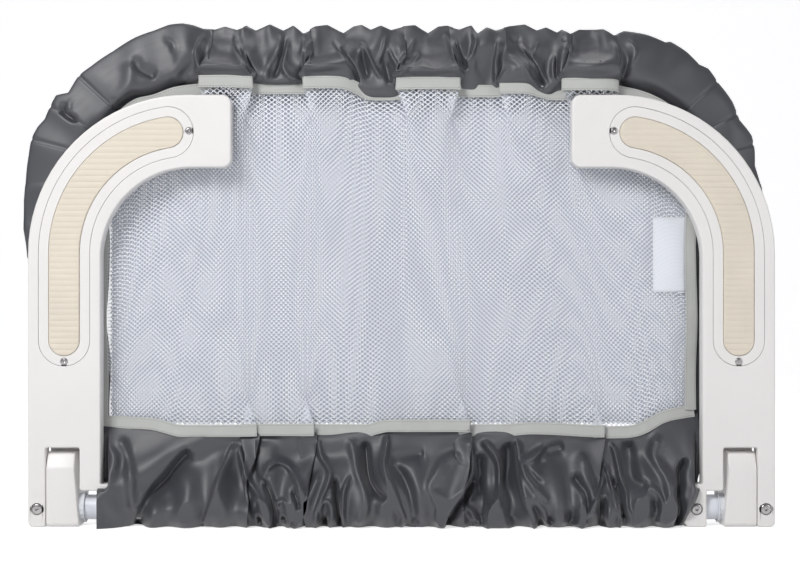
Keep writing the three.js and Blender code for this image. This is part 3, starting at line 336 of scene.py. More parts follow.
def spline(table, at):
    """A smooth curve through a table's rows, with equal steps between rows (Catmull-Rom)."""
    table = np.asarray(table, float)
    at = np.clip(np.asarray(at, float), 0, len(table) - 1)
    i = np.minimum(at.astype(int), len(table) - 2)
    t = (at - i).reshape(-1, *[1] * (table.ndim - 1))
    p = [table[np.clip(i + k, 0, len(table) - 1)] for k in (-1, 0, 1, 2)]
    return p[1] + 0.5 * t * (
        p[2] - p[0] + t * (2 * p[0] - 5 * p[1] + 4 * p[2] - p[3] + t * (3 * (p[1] - p[2]) + p[3] - p[0]))
    )


# Finishes

# Colour, roughness, grain (per metre), relief (mm), darkest shade, metal, mottle (per metre)
SKINS = {
    "white plastic": ("plastic", 0.42, 1100.0, 0.02, 0.975, 0.0, 14.0),
    "cream pad": ("pad", 0.62, 700.0, 0.05, 0.93, 0.0, 22.0),
    "powder coat": ("tube", 0.36, 1600.0, 0.03, 0.96, 0.0, 14.0),
    "plated steel": ("steel", 0.28, 2600.0, 0.01, 0.8, 1.0, 90.0),
    "nylon": ("tube", 0.5, 900.0, 0.02, 0.96, 0.0, 14.0),
}
# Colour and its share, roughness, threads (per metre), relief (mm), darkest shade, slant, sheen, specular
CLOTHS = {
    "grey satin": ("satin", 1.0, 0.5, 2400.0, 0.02, 0.85, 1.0, 0.3, 0.95),
    "binding tape": ("tape", 1.0, 0.8, 900.0, 0.10, 0.82, 0.0, 0.25, 0.3),
    "stitching": ("tape", 0.55, 0.7, 1500.0, 0.05, 0.8, 1.0, 0.1, 0.3),
    "satin stitching": ("satin", 1.3, 0.6, 1500.0, 0.05, 0.8, 1.0, 0.1, 0.4),
    "white net": ("net", 1.0, 0.6, 1800.0, 0.06, 0.92, 1.0, 0.2, 0.4),
    # A darker copy of the white net: painted shade seen through the front net's holes.
    "rear net": ("back_net", 1.0, 0.7, 1800.0, 0.06, 0.9, 1.0, 0.1, 0.3),
    "label cloth": ("label", 1.0, 0.55, 1800.0, 0.05, 0.95, 1.0, 0.1, 0.5),
}


def feed(links, value, socket):
    """Gives a socket a plain value, or links another socket to it."""
    if isinstance(value, bpy.types.NodeSocket):
        links.new(value, socket)
    else:
        socket.default_value = value


def add(tree, kind, inputs, output=0, **settings):
    """Adds a shader node, sets and feeds it, and returns one of its outputs. tree is (nodes, links)."""
    node = tree[0].new("ShaderNode" + kind)
    for name, value in settings.items():
        setattr(node, name, value)
    for name, value in inputs.items():
        feed(tree[1], value, node.inputs[name])
    return node.outputs[output]


def maths(tree, operation, *values):
    """A Math node's result on its values."""
    return add(tree, "Math", dict(enumerate(values)), operation=operation)


def noise(tree, vector, scale, detail, rough=0.5):
    """A noise from 0 to 1."""
    values = {"Detail": detail, "Roughness": rough, "Vector": vector, "Scale": scale}
    return add(tree, "TexNoise", values, "Fac")


def remap(tree, value, kind, low, high):
    """Maps low to high ("From") on to 0 to 1, or 0 to 1 on to low to high ("To")."""
    return add(tree, "MapRange", {f"{kind} Min": low, f"{kind} Max": high, "Value": value})


def node_group(name, inputs, outputs, build):
    """A shader node group, built once. Its first input is the vector."""
    found = bpy.data.node_groups.get(name)
    if found:
        return found
    group = bpy.data.node_groups.new(name, "ShaderNodeTree")
    group.interface.new_socket(name="Vector", in_out="INPUT", socket_type="NodeSocketVector")
    for label, default in inputs.items():
        socket = group.interface.new_socket(name=label, in_out="INPUT", socket_type="NodeSocketFloat")
        socket.default_value = default
    for label in outputs:
        group.interface.new_socket(name=label, in_out="OUTPUT", socket_type="NodeSocketFloat")
    start, end = group.nodes.new("NodeGroupInput"), group.nodes.new("NodeGroupOutput")
    for label, value in zip(outputs, build((group.nodes, group.links), start.outputs)):
        group.links.new(value, end.inputs[label])
    return group


def skin_group():
    """Moulded or coated skin: a fine grain for the bump and a slow mottle for colour and gloss."""

    def build(tree, given):
        grain = noise(tree, given["Vector"], given["Grain scale"], 2.0)
        slow = noise(tree, given["Vector"], given["Mottle scale"], 4.0, 0.6)
        return grain, remap(tree, slow, "From", 0.3, 0.7)

    return node_group("moulded skin", {"Grain scale": 900.0, "Mottle scale": 14.0}, ("Height", "Mottle"), build)


def weave_group():
    """Cloth: crossed threads for the bump, slubs and a slow mottle for colour. It works in metres of flat cloth."""

    def build(tree, given):
        split = tree[0].new("ShaderNodeSeparateXYZ")
        tree[1].new(given["Vector"], split.inputs[0])
        turn = maths(tree, "MULTIPLY", given["Threads per metre"], 2 * math.pi)
        along = maths(tree, "MULTIPLY", split.outputs["X"], turn)
        across = maths(tree, "MULTIPLY", split.outputs["Y"], turn)
        slant = maths(tree, "MULTIPLY", across, given["Slant"])
        warp = maths(tree, "SINE", maths(tree, "ADD", along, slant))
        weft = maths(tree, "SINE", across)
        height = maths(tree, "MULTIPLY", warp, weft)
        slow = noise(tree, given["Vector"], 26.0, 4.0, 0.6)
        stretch = add(tree, "Mapping", {"Scale": (40.0, 900.0, 1.0), "Vector": given["Vector"]})
        return height, slow, noise(tree, stretch, 1.0, 2.0)

    sockets = {"Threads per metre": 2200.0, "Slant": 1.0}
    return node_group("woven cloth", sockets, ("Height", "Mottle", "Slub"), build)


def new_material(name):
    """A material with a Principled shader, returned with its (nodes, links) and its shader's inputs."""
    material = bpy.data.materials.new(name)
    material.use_nodes = True
    tree = material.node_tree.nodes, material.node_tree.links
    return material, tree, tree[0]["Principled BSDF"].inputs


def grouped(tree, group, vector, **values):
    """A group's node on a vector, with its values, as its outputs."""
    node = tree[0].new("ShaderNodeGroup")
    node.node_tree = group
    for name, value in {"Vector": vector, **values}.items():
        feed(tree[1], value, node.inputs[name.replace("_", " ")])
    return node.outputs


def surfaced(tree, shader, colour_, dark, mask, gloss, rough, swing, height, relief):
    """Base Color runs from a darker shade of the colour to the colour by the mask, Roughness swings round its mean
    by the gloss, and the height is the bump."""
    shades = {"A": (*[c * dark for c in colour_], 1), "B": (*colour_, 1), "Factor": mask}
    feed(tree[1], add(tree, "Mix", shades, "Result", data_type="RGBA"), shader["Base Color"])
    feed(tree[1], remap(tree, gloss, "To", rough - swing, rough + swing), shader["Roughness"])
    bump = {"Distance": relief * MM, "Strength": 0.5, "Height": height}
    feed(tree[1], add(tree, "Bump", bump, "Normal"), shader["Normal"])


def skin_material(name, colour_, rough, grain, relief, dark, metallic, mottle):
    """Plastic, rubber, powder coat or plated steel on Object coordinates."""
    material, tree, shader = new_material(name)
    place_ = add(tree, "TexCoord", {}, "Object")
    skin = grouped(tree, skin_group(), place_, Grain_scale=grain, Mottle_scale=mottle)
    surfaced(tree, shader, colour_, dark, skin["Mottle"], skin["Mottle"], rough, 0.05, skin["Height"], relief)
    shader["Metallic"].default_value = metallic
    return material


def cloth_material(name, colour_, rough, threads, relief, dark, slant, sheen, specular):
    """Woven cloth on the piece's own flat coordinates."""
    material, tree, shader = new_material(name)
    place_ = add(tree, "UVMap", {}, "UV", uv_map="flat")
    weave = grouped(tree, weave_group(), place_, Threads_per_metre=threads, Slant=slant)
    shade = maths(tree, "ADD", weave["Mottle"], maths(tree, "MULTIPLY", weave["Slub"], 0.5))
    mask = remap(tree, shade, "To", -0.2, 1.1)
    surfaced(tree, shader, colour_, dark, mask, weave["Slub"], rough, 0.06, weave["Height"], relief)
    for label, value in (("Sheen Weight", sheen), ("Sheen Roughness", 0.4), ("Specular IOR Level", specular)):
        shader[label].default_value = value
    return material


def finish_named(name):
    """The material of one finish, made when it is first asked for."""
    found = bpy.data.materials.get(name)
    if found:
        return found
    colours = bpy.context.scene.rail_finishes
    if name in SKINS:
        owner, *values = SKINS[name]
        return skin_material(name, getattr(colours, owner), *values)
    owner, share, *values = CLOTHS[name]
    return cloth_material(name, [v * share for v in getattr(colours, owner)], *values)


def dress(node, name):
    """Gives a CAD node a finish and soft edges."""
    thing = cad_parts[node]
    thing.data.materials.clear()
    thing.data.materials.append(finish_named(name))
    thing.modifiers.new("weld", "WELD").merge_threshold = 0.01 * MM
    soft = thing.modifiers.new("edges", "BEVEL")
    soft.width = 0.25 * MM
    soft.segments = 2
    soft.limit_method = "ANGLE"
    soft.angle_limit = math.radians(50)


# Arms


def arm_outline(step=0.08):
    """The arm's outline, counter-clockwise from the inner corner of its forked foot."""
    fork = (  # x, z and radius, in millimetres
        (248.6, 0, 6), (268.8, 0, 2.4), (268.8, 32, 1.2), (283.6, 32, 3), (283.6, 70, 2), (313.5, 70, 2),
        (313.5, 0, 2.4),
    )
    return rounded(
        [tuple(v * MM for v in row) for row in fork]
        + [
            (ARM_OUT, 0, 5 * MM),
            (ARM_OUT, ARM_TOP, OUTER_BEND),
            (ARM_TIP, ARM_TOP, 8 * MM),
            (ARM_TIP, ARM_LIP, 8 * MM),
            (ARM_IN, ARM_LIP, INNER_BEND),
            (ARM_IN, 38 * MM, 1.5 * MM),
            (248.6 * MM, 38 * MM, 6 * MM),
        ],
        step,
    )


def band(half, steps=90):
    """The grip's outline at a distance from its middle line: a straight run, an arc and two round ends."""
    tip = (GRIP_X + GRIP_R * math.cos(GRIP_SWEEP), GRIP_Z + GRIP_R * math.sin(GRIP_SWEEP))
    return np.concatenate(
        [
            arc(GRIP_X, GRIP_Z, GRIP_R + half, np.linspace(0, GRIP_SWEEP, steps)),
            arc(*tip, half, np.linspace(GRIP_SWEEP, GRIP_SWEEP + math.pi, 40))[1:-1],
            arc(GRIP_X, GRIP_Z, GRIP_R - half, np.linspace(GRIP_SWEEP, 0, steps)),
            arc(GRIP_X + GRIP_R, GRIP_FOOT, half, np.linspace(math.pi, 2 * math.pi, 40)),
        ]
    )


def grip_screws():
    """Places of the two screws in the grip's frame."""
    turn = GRIP_SWEEP + SCREW_SHIFT / GRIP_R
    return [
        (GRIP_X + GRIP_R, GRIP_FOOT - SCREW_SHIFT),
        (GRIP_X + GRIP_R * math.cos(turn), GRIP_Z + GRIP_R * math.sin(turn)),
    ]


def back_outline(inset):
    """The outline of the arm's rear cover."""
    left, right, top = ARM_IN + inset, ARM_OUT - inset, ARM_TOP - inset
    lip, tip, foot = ARM_LIP + inset, ARM_TIP + inset, 78 * MM + inset
    below = [(left, foot, 3 * MM), (right, foot, 3 * MM), (right, top, OUTER_BEND - inset)]
    return rounded(below + [(tip, top, 7 * MM), (tip, lip, 7 * MM), (left, lip, INNER_BEND + inset)])


def arm_shell(sign, sizes):
    """The arm: one plate with its pockets, and two round ears behind its foot."""
    pockets = [(band(FRAME_HALF + sizes.seam / 2), 2.4 * MM)]
    pockets += [(arc(x, AXLE_Z, 5.4 * MM, turns(36)), 2.6 * MM) for x in FOOT_SCREWS]
    rear = [(back_outline(2 * MM), 2.2 * MM)]
    points, faces = plate(arm_outline(), ARM_FRONT, AXLE_Y, sizes.edge_round, pockets, rear, 0.5 * MM)
    shells = [(turned(points, FROM_FRONT, sign), faces)]
    round_ = arc(AXLE_Y, AXLE_Z, EAR, np.linspace(-math.pi / 2, math.pi / 2, 33))
    foot = np.array([[AXLE_Y - 9 * MM, AXLE_Z + EAR], [AXLE_Y - 9 * MM, AXLE_Z - EAR]])
    for start, end in ((250.2, 268.4), (314, 327.6)):
        points, faces = plate(np.concatenate([round_, foot]), start * MM, end * MM, 0.9 * MM)
        shells.append((turned(points, FROM_SIDE, sign), faces))
    return merged(shells)


def grip_frame(sign, sizes):
    """The smooth plate round the ribbed pad, with its two screw seats."""
    front = ARM_FRONT + 0.05 * MM
    pockets = [(band(OPENING_HALF + sizes.seam / 2), 1.9 * MM)]
    pockets += [(arc(x, z, 3.3 * MM, turns(28)), 1.3 * MM) for x, z in grip_screws()]
    points, faces = plate(band(FRAME_HALF - sizes.seam / 2), front, front + 2.1 * MM, 0.35 * MM, pockets)
    return turned(points, FROM_FRONT, sign), faces


def grip_pad(sign, sizes):
    """The pad is level slices of the grip's band. Its face stands out by a rounded rib over each pitch, the root of
    a sine, and falls off towards the band's edge, so a rib's end is a small scallop."""
    outline = band(OPENING_HALF - sizes.seam / 2, 400)
    low, high = outline[:, 1].min(), outline[:, 1].max()
    per_rib, inset, fall = 12, 0.02 * MM, 1.1 * MM
    level = np.linspace(low + inset, high - inset, int((high - low) / sizes.rib_pitch * per_rib))
    root = lambda radius, off: np.sqrt(np.maximum(radius**2 - off**2, 0))
    cut = PAD_HALF - root(PAD_HALF, np.maximum(GRIP_FOOT - level, 0))
    right = GRIP_X + root(GRIP_R + PAD_HALF, np.maximum(level - GRIP_Z, 0)) - cut
    tip_x = GRIP_X + GRIP_R * math.cos(GRIP_SWEEP)
    tip_z = GRIP_Z + GRIP_R * math.sin(GRIP_SWEEP)
    inner = GRIP_R - PAD_HALF
    join = GRIP_Z + inner * math.sin(GRIP_SWEEP)
    left = GRIP_X + root(inner, np.clip(level - GRIP_Z, 0, inner * 0.9999)) + cut
    left = np.where(level > join, tip_x - root(PAD_HALF, level - tip_z), left)
    u = (1 - np.cos(np.linspace(0, math.pi, 41))) / 2
    x = left[:, None] + (right - left)[:, None] * u
    z = np.repeat(level[:, None], len(u), 1)
    rib = np.abs(np.sin(math.pi * ((level - low) / sizes.rib_pitch))) ** 0.45
    away = np.minimum(x - left[:, None], right[:, None] - x)
    end = np.minimum(level - low, high - level)[:, None]
    full = 1 - (1 - np.clip(np.minimum(away, end) / fall, 0, 1)) ** 2
    y = ARM_FRONT + 0.2 * MM - (sizes.pad_proud + 0.2 * MM) * full + sizes.rib_depth * (1 - rib)[:, None] * full
    y = y + (1.6 * MM) * (1 - full) * (away <= 0)
    return np.stack([sign * x, y, z], -1), grid_faces(*x.shape)


def screws(sign, places, head, height, hexagon, deep, sides=48):
    """Domed screw heads at the given places: rings from the rim over the dome to a hexagonal socket and its floor.
    A ring's distance from the middle blends from a circle to a hexagon."""
    angle = turns(sides)
    six = math.cos(math.pi / 6) / np.cos((angle % (math.pi / 3)) - math.pi / 6)
    rings = (  # distance, share of the hexagon, depth
        (head, 0, height),
        (head, 0, height * 0.45),
        (head * 0.95, 0, height * 0.22),
        (head * 0.82, 0, height * 0.07),
        (head * 0.62, 0, 0),
        (hexagon * 1.12, 1, 0),
        (hexagon, 1, 0.15 * MM),
        (hexagon, 1, deep),
        (hexagon * 0.05, 1, deep + 0.3 * MM),
    )
    rows = [np.column_stack([arc(0, 0, r * (1 + k * (six - 1)), angle), np.full(sides, d)]) for r, k, d in rings]
    points, faces = np.concatenate(rows), grid_faces(len(rings), sides, True)
    front = ARM_FRONT + 0.15 * MM
    return merged([(turned(points + np.array([x, z, front]), FROM_FRONT, sign), faces) for x, z in places])


def tube_ring(outer, inner, start, end, sides=48):
    """A round tube with softened ends, closed on itself."""
    c = 0.25 * MM
    first = [(inner, start + c), (inner + c, start), (outer - c, start), (outer, start + c)]
    last = [(outer, end - c), (outer - c, end), (inner + c, end), (inner, end - c)]
    return revolve(first + last + first[:1], sides)


def knuckle(sign):
    """The hinge knuckle: its side outline carried across its width, narrowed beside the fork above the axle."""
    corners = (  # y from the axle, z and radius, in millimetres
        (-16, 0, 5), (14, 0, 10), (31, 24, 8), (31, 78, 3), (2.5, 78, 2), (2.5, 66, 1), (-9, 66, 6), (-16, 52, 10),
    )
    start, end, narrowing = 284.1 * MM, 313 * MM, 4.2 * MM
    side = rounded([(AXLE_Y + y * MM, z * MM, radius * MM) for y, z, radius in corners])
    points, faces = plate(side, start, end, 1.5 * MM)
    points = turned(points, FROM_SIDE)
    share = (end - points[:, 0]) / (end - start)
    front = soft_step(-points[:, 1], -AXLE_Y - 2 * MM, -AXLE_Y + 9 * MM)
    points[:, 0] += narrowing * soft_step(points[:, 2], 30 * MM, 44 * MM) * share * front
    points[:, 0] *= sign
    return points, faces


class RAIL_OT_arms(bpy.types.Operator):
    """Builds the arms, their pads and grip frames, the knuckles and all screws"""

    bl_idname = "rail.arms"
    bl_label = "Arms"

    def execute(self, context):
        sizes = context.scene.rail_arm
        plastic, steel = ("white plastic", "white_plastic"), ("plated steel", "bright_steel")
        for side, sign in SIDES:
            big = screws(sign, [(x, AXLE_Z) for x in FOOT_SCREWS], 4.75 * MM, 2.4 * MM, 1.6 * MM, 1.5 * MM)
            small = screws(sign, grip_screws(), 2.9 * MM, 1.1 * MM, 0.95 * MM, 0.7 * MM)
            for name, form, (finish, slot), body, *nodes in (
                ("arm", arm_shell(sign, sizes), plastic, "arm", "arm_shell"),
                ("grip_plate", grip_frame(sign, sizes), plastic, "arm", "grip_frame"),
                ("ribbed_pad", grip_pad(sign, sizes), ("cream pad", "cream_rubber"), "arm", "grip_pad"),
                ("hinge_knuckle", knuckle(sign), plastic, "side", "knuckle"),
                ("foot_screws", big, steel, "arm", "axle_screw_outer", "axle_screw_inner"),
                ("grip_screws", small, steel, "arm", "grip_screw_lower", "grip_screw_upper"),
            ):
                skin = name == "ribbed_pad"
                thing = make_object(
                    f"{side}_{name}", *form, finish_named(finish), sharp=60 if skin else 40, outward=not skin
                )
                if skin:
                    face_forward(thing)
                place(thing, f"{side}_{body}", slot, *[f"{side}_{node}" for node in nodes])
            dress(f"{side}_arm_back_cover", "white plastic")
            for node in ("stop_key", "tube_rivet"):
                dress(f"{side}_{node}", "plated steel")
        return {"FINISHED"}


# Tubes


def bent_tube(radius, start_x, foot_z, sign, sides=40):
    """A circle carried along the upper tube's line: level, round the bend and down."""
    bend = np.linspace(math.pi / 2, 0, 33)
    x = np.concatenate([[start_x], BEND_X + BEND * np.cos(bend), [SIDE_X]])
    z = np.concatenate([[TUBE_Z], BEND_Z + BEND * np.sin(bend), [foot_z]])
    turn = np.concatenate([[math.pi / 2], bend, [0]])
    angle = turns(sides)
    out = radius * np.cos(angle)
    points = np.stack(
        [
            sign * (x[:, None] + np.cos(turn)[:, None] * out),
            np.broadcast_to(TUBE_Y + radius * np.sin(angle), (len(x), sides)),
            z[:, None] + np.sin(turn)[:, None] * out,
        ],
        -1,
    )
    return points.reshape(-1, 3), grid_faces(len(x), sides, True)


class RAIL_OT_tubes(bpy.types.Operator):
    """Builds the telescoping tubes and finishes their collars, bushes and snap buttons"""

    bl_idname = "rail.tubes"
    bl_label = "Tubes"

    def execute(self, context):
        coat = finish_named("powder coat")
        for side, sign in SIDES:
            points, faces = tube_ring(TUBE_RADIUS, 10 * MM, 3 * MM, 325.2 * MM)
            points = turned(points, FROM_SIDE, sign) + np.array([0, AXLE_Y, AXLE_Z])
            axle = make_object(f"{side}_axle", points, faces, coat, outward=True)
            place(axle, f"{side}_arm", "painted_tube", f"{side}_axle_tube")
            dress(f"{side}_upper_tube", "powder coat")
            for node in ("upper_tube_collar", "axle_collar", "knuckle_inner_bush", "knuckle_outer_bush"):
                dress(f"{side}_{node}", "nylon")
            for node in ("snap_button", "snap_spring"):
                dress(f"{side}_{node}", "plated steel")
        for node in ("top_inner_tube", "bottom_inner_tube"):
            dress(node, "powder coat")
        return {"FINISHED"}


# Cover

# Where the cover folds along the fence's front, in millimetres: x, y and z of the top tape's middle, then
# x, y and z of the bottom tape's middle. y counts from the hinge's axis, and a lower y is nearer the bed.
FOLDS = (
    (-267.4, 9, 302, -267.4, 9, 91.1), (-262.9, 9, 336.1, -259.2, 8.5, 90.9),
    (-253, 9, 359.4, -251.1, 8, 90.7), (-237.7, 8.5, 373.6, -242, 7.5, 90.5),
    (-220.6, 8, 378.1, -232, 6.5, 90.1), (-201.8, 8, 384.8, -221.1, 5.5, 89.2),
    (-180.3, 7.5, 387.8, -210.1, 3.5, 86.7), (-168.5, 6, 388.1, -200, 1.5, 84.2),
    (-163.7, 3, 389.1, -194.6, 1, 83.8), (-167.7, -1, 391.7, -188.3, 0.5, 83.8),
    (-179.8, -3.5, 393.6, -181.1, 0, 83.9), (-168, -6, 393.7, -172.2, 0, 83.9),
    (-155.4, -7, 393.6, -161.4, -1, 84), (-143.1, -6.5, 393.2, -145.4, -1, 84),
    (-131.7, -5, 393, -128.6, 0, 84.3), (-138.1, -3.5, 392.3, -133.2, 1, 84.2),
    (-145.5, 0, 390.5, -141.3, 2.5, 84.1), (-145.9, 3.5, 389, -141.5, 4.5, 83.9),
    (-135.4, 5.5, 388.9, -129.8, 3.5, 84.4), (-113.1, 6, 389, -112.6, 0, 84.8),
    (-90.7, 5.5, 388.9, -92.9, -1, 84.8), (-78.2, 5, 388.9, -77.8, -1, 84.8),
    (-73.6, 2.5, 389.9, -82.4, 0.5, 84.4), (-77.8, -1.5, 391.6, -90.5, 3, 84),
    (-87.4, -5, 392.5, -90.7, 5, 83.8), (-74.9, -6.5, 392.8, -77.3, 5.5, 83.8),
    (-61.6, -6.5, 392.8, -58.5, 5.5, 83.8), (-49.3, -4, 391.8, -41.5, 5, 83.8),
    (-38.7, 1, 387.9, -29.9, 3, 84), (-29.9, 4, 383.8, -22.7, 1, 86),
    (-15.6, 5, 383.1, -14.7, -1, 88), (-1.3, 4.5, 383.9, -5.8, -2, 88.5),
    (7.6, 3.5, 385.1, 0.4, -2.5, 88.5), (11.1, 0.5, 387, 4.9, -2.5, 88.5),
    (6.7, -2.5, 390.2, 9.3, -3, 88.6), (-4.9, -4.5, 391.3, 14.7, -3, 88.6),
    (7.5, -7, 391.8, 22.6, -3, 88.6), (23.5, -7.5, 391.8, 35.1, -3, 88.6),
    (39.4, -7, 391.8, 48.4, -2.5, 88.5), (52.2, -5, 391.6, 60.5, -1.5, 88),
    (44.8, -3.5, 390.5, 56.5, -0.5, 87), (37.8, 0, 388.7, 48.6, 2, 85),
    (38.8, 3.5, 386.9, 48.7, 4.5, 83.9), (50.5, 5, 386.2, 61.2, 5.5, 83.8),
    (70.1, 5, 386.2, 77.3, 5.5, 83.8), (83.5, 4.5, 386.1, 89.7, 4, 83.9),
    (95, 3, 386.8, 97.6, 2.5, 84.5), (98.4, 0, 387.8, 102.9, 1.5, 85.1),
    (94.6, -2.5, 388.4, 107.3, 0.5, 85.6), (86.6, -3.5, 388.3, 112.6, 0, 86.1),
    (98, -5, 388.1, 121.4, -1, 86.2), (112.3, -4, 387.8, 134.7, -1, 85.7),
    (123.3, 0.5, 385.2, 149.9, -1, 84.8), (134.3, 4, 383.4, 165.9, -0.5, 83.9),
    (146.9, 4.5, 383.6, 180.3, 0.5, 83.4), (154.9, 4, 384.3, 176.9, 1.5, 83.1),
    (159, 1.5, 386.2, 171.8, 3.5, 82.6), (154.2, -2, 388.9, 171.9, 5, 82.2),
    (141.9, -5.5, 390.7, 180.9, 5, 82.1), (156.2, -8.5, 390.8, 191.5, 4, 82.2),
    (173.8, -9, 390.7, 201.1, 3, 82.7), (186.6, -6, 390.6, 209, 2, 84.1),
    (192.4, -2, 389.4, 215.2, 1.8, 86.4), (188.3, 0.5, 388.3, 219.7, 2, 88.6),
    (184.3, 3.5, 387.4, 224.3, 3, 91.2), (193.6, 6.5, 385.9, 230.7, 4, 94.7),
    (209.9, 8, 382.5, 238.2, 6, 97.2), (222.5, 8.5, 378.1, 243.7, 7, 98.4),
    (235.1, 9, 371, 249.3, 8, 99.2), (247.7, 9, 357.6, 254.7, 8.5, 100.1),
    (256.6, 9, 334.3, 258, 9, 100.5), (260.2, 9, 302, 261.5, 9, 100.9),
)

# The outline of the sleeve from the front, in millimetres: x and z of its bulges and of the dips between them.
OUTLINE = (
    (-335.5, 234.1), (-337.3, 249.4), (-339.6, 262.9), (-340, 285.4), (-338.2, 307.9), (-335.5, 330.4),
    (-332.8, 345.7), (-327.4, 355.7), (-321.1, 362.4), (-316.6, 372.8), (-310.8, 384.2), (-299.5, 386.3),
    (-290.5, 402), (-278.8, 410.6), (-259, 424.6), (-239.1, 436.7), (-222, 443), (-208.5, 448.1),
    (-195.9, 449.1), (-186, 447.5), (-177.9, 444.6), (-167.1, 444.1), (-158.1, 446.6), (-147.3, 443.5),
    (-138.3, 447.5), (-130.2, 443), (-117.5, 448.4), (-105.8, 443), (-96.8, 447.5), (-87.8, 440.3),
    (-77, 446.6), (-66.2, 448), (-51.8, 440.8), (-42.8, 446.6), (-35.6, 448), (-27.5, 443.9),
    (-18.5, 447.5), (-9.5, 443.5), (1.4, 446.6), (12.2, 448), (23.9, 440.8), (32.9, 446.6),
    (41, 447.5), (51.8, 443.9), (62.6, 447.5), (68, 440.3), (76.1, 445.7), (84.2, 443),
    (95.9, 446.6), (110.3, 448.4), (121.1, 443), (129.3, 445.7), (139.2, 441.2), (143.7, 444.4),
    (150.9, 439.4), (159, 443.5), (180.6, 443.2), (189.9, 437.2), (199.2, 441.2), (220.7, 437.6),
    (236.4, 430.9), (240.9, 431.8), (255.4, 422.3), (266.7, 410.8), (275.2, 407.4), (283.9, 394.4),
    (296.8, 377.3), (302.6, 361.1), (314.1, 347.1), (317, 334), (317, 320.3), (322.7, 300.7),
    (326.5, 276.4),
)

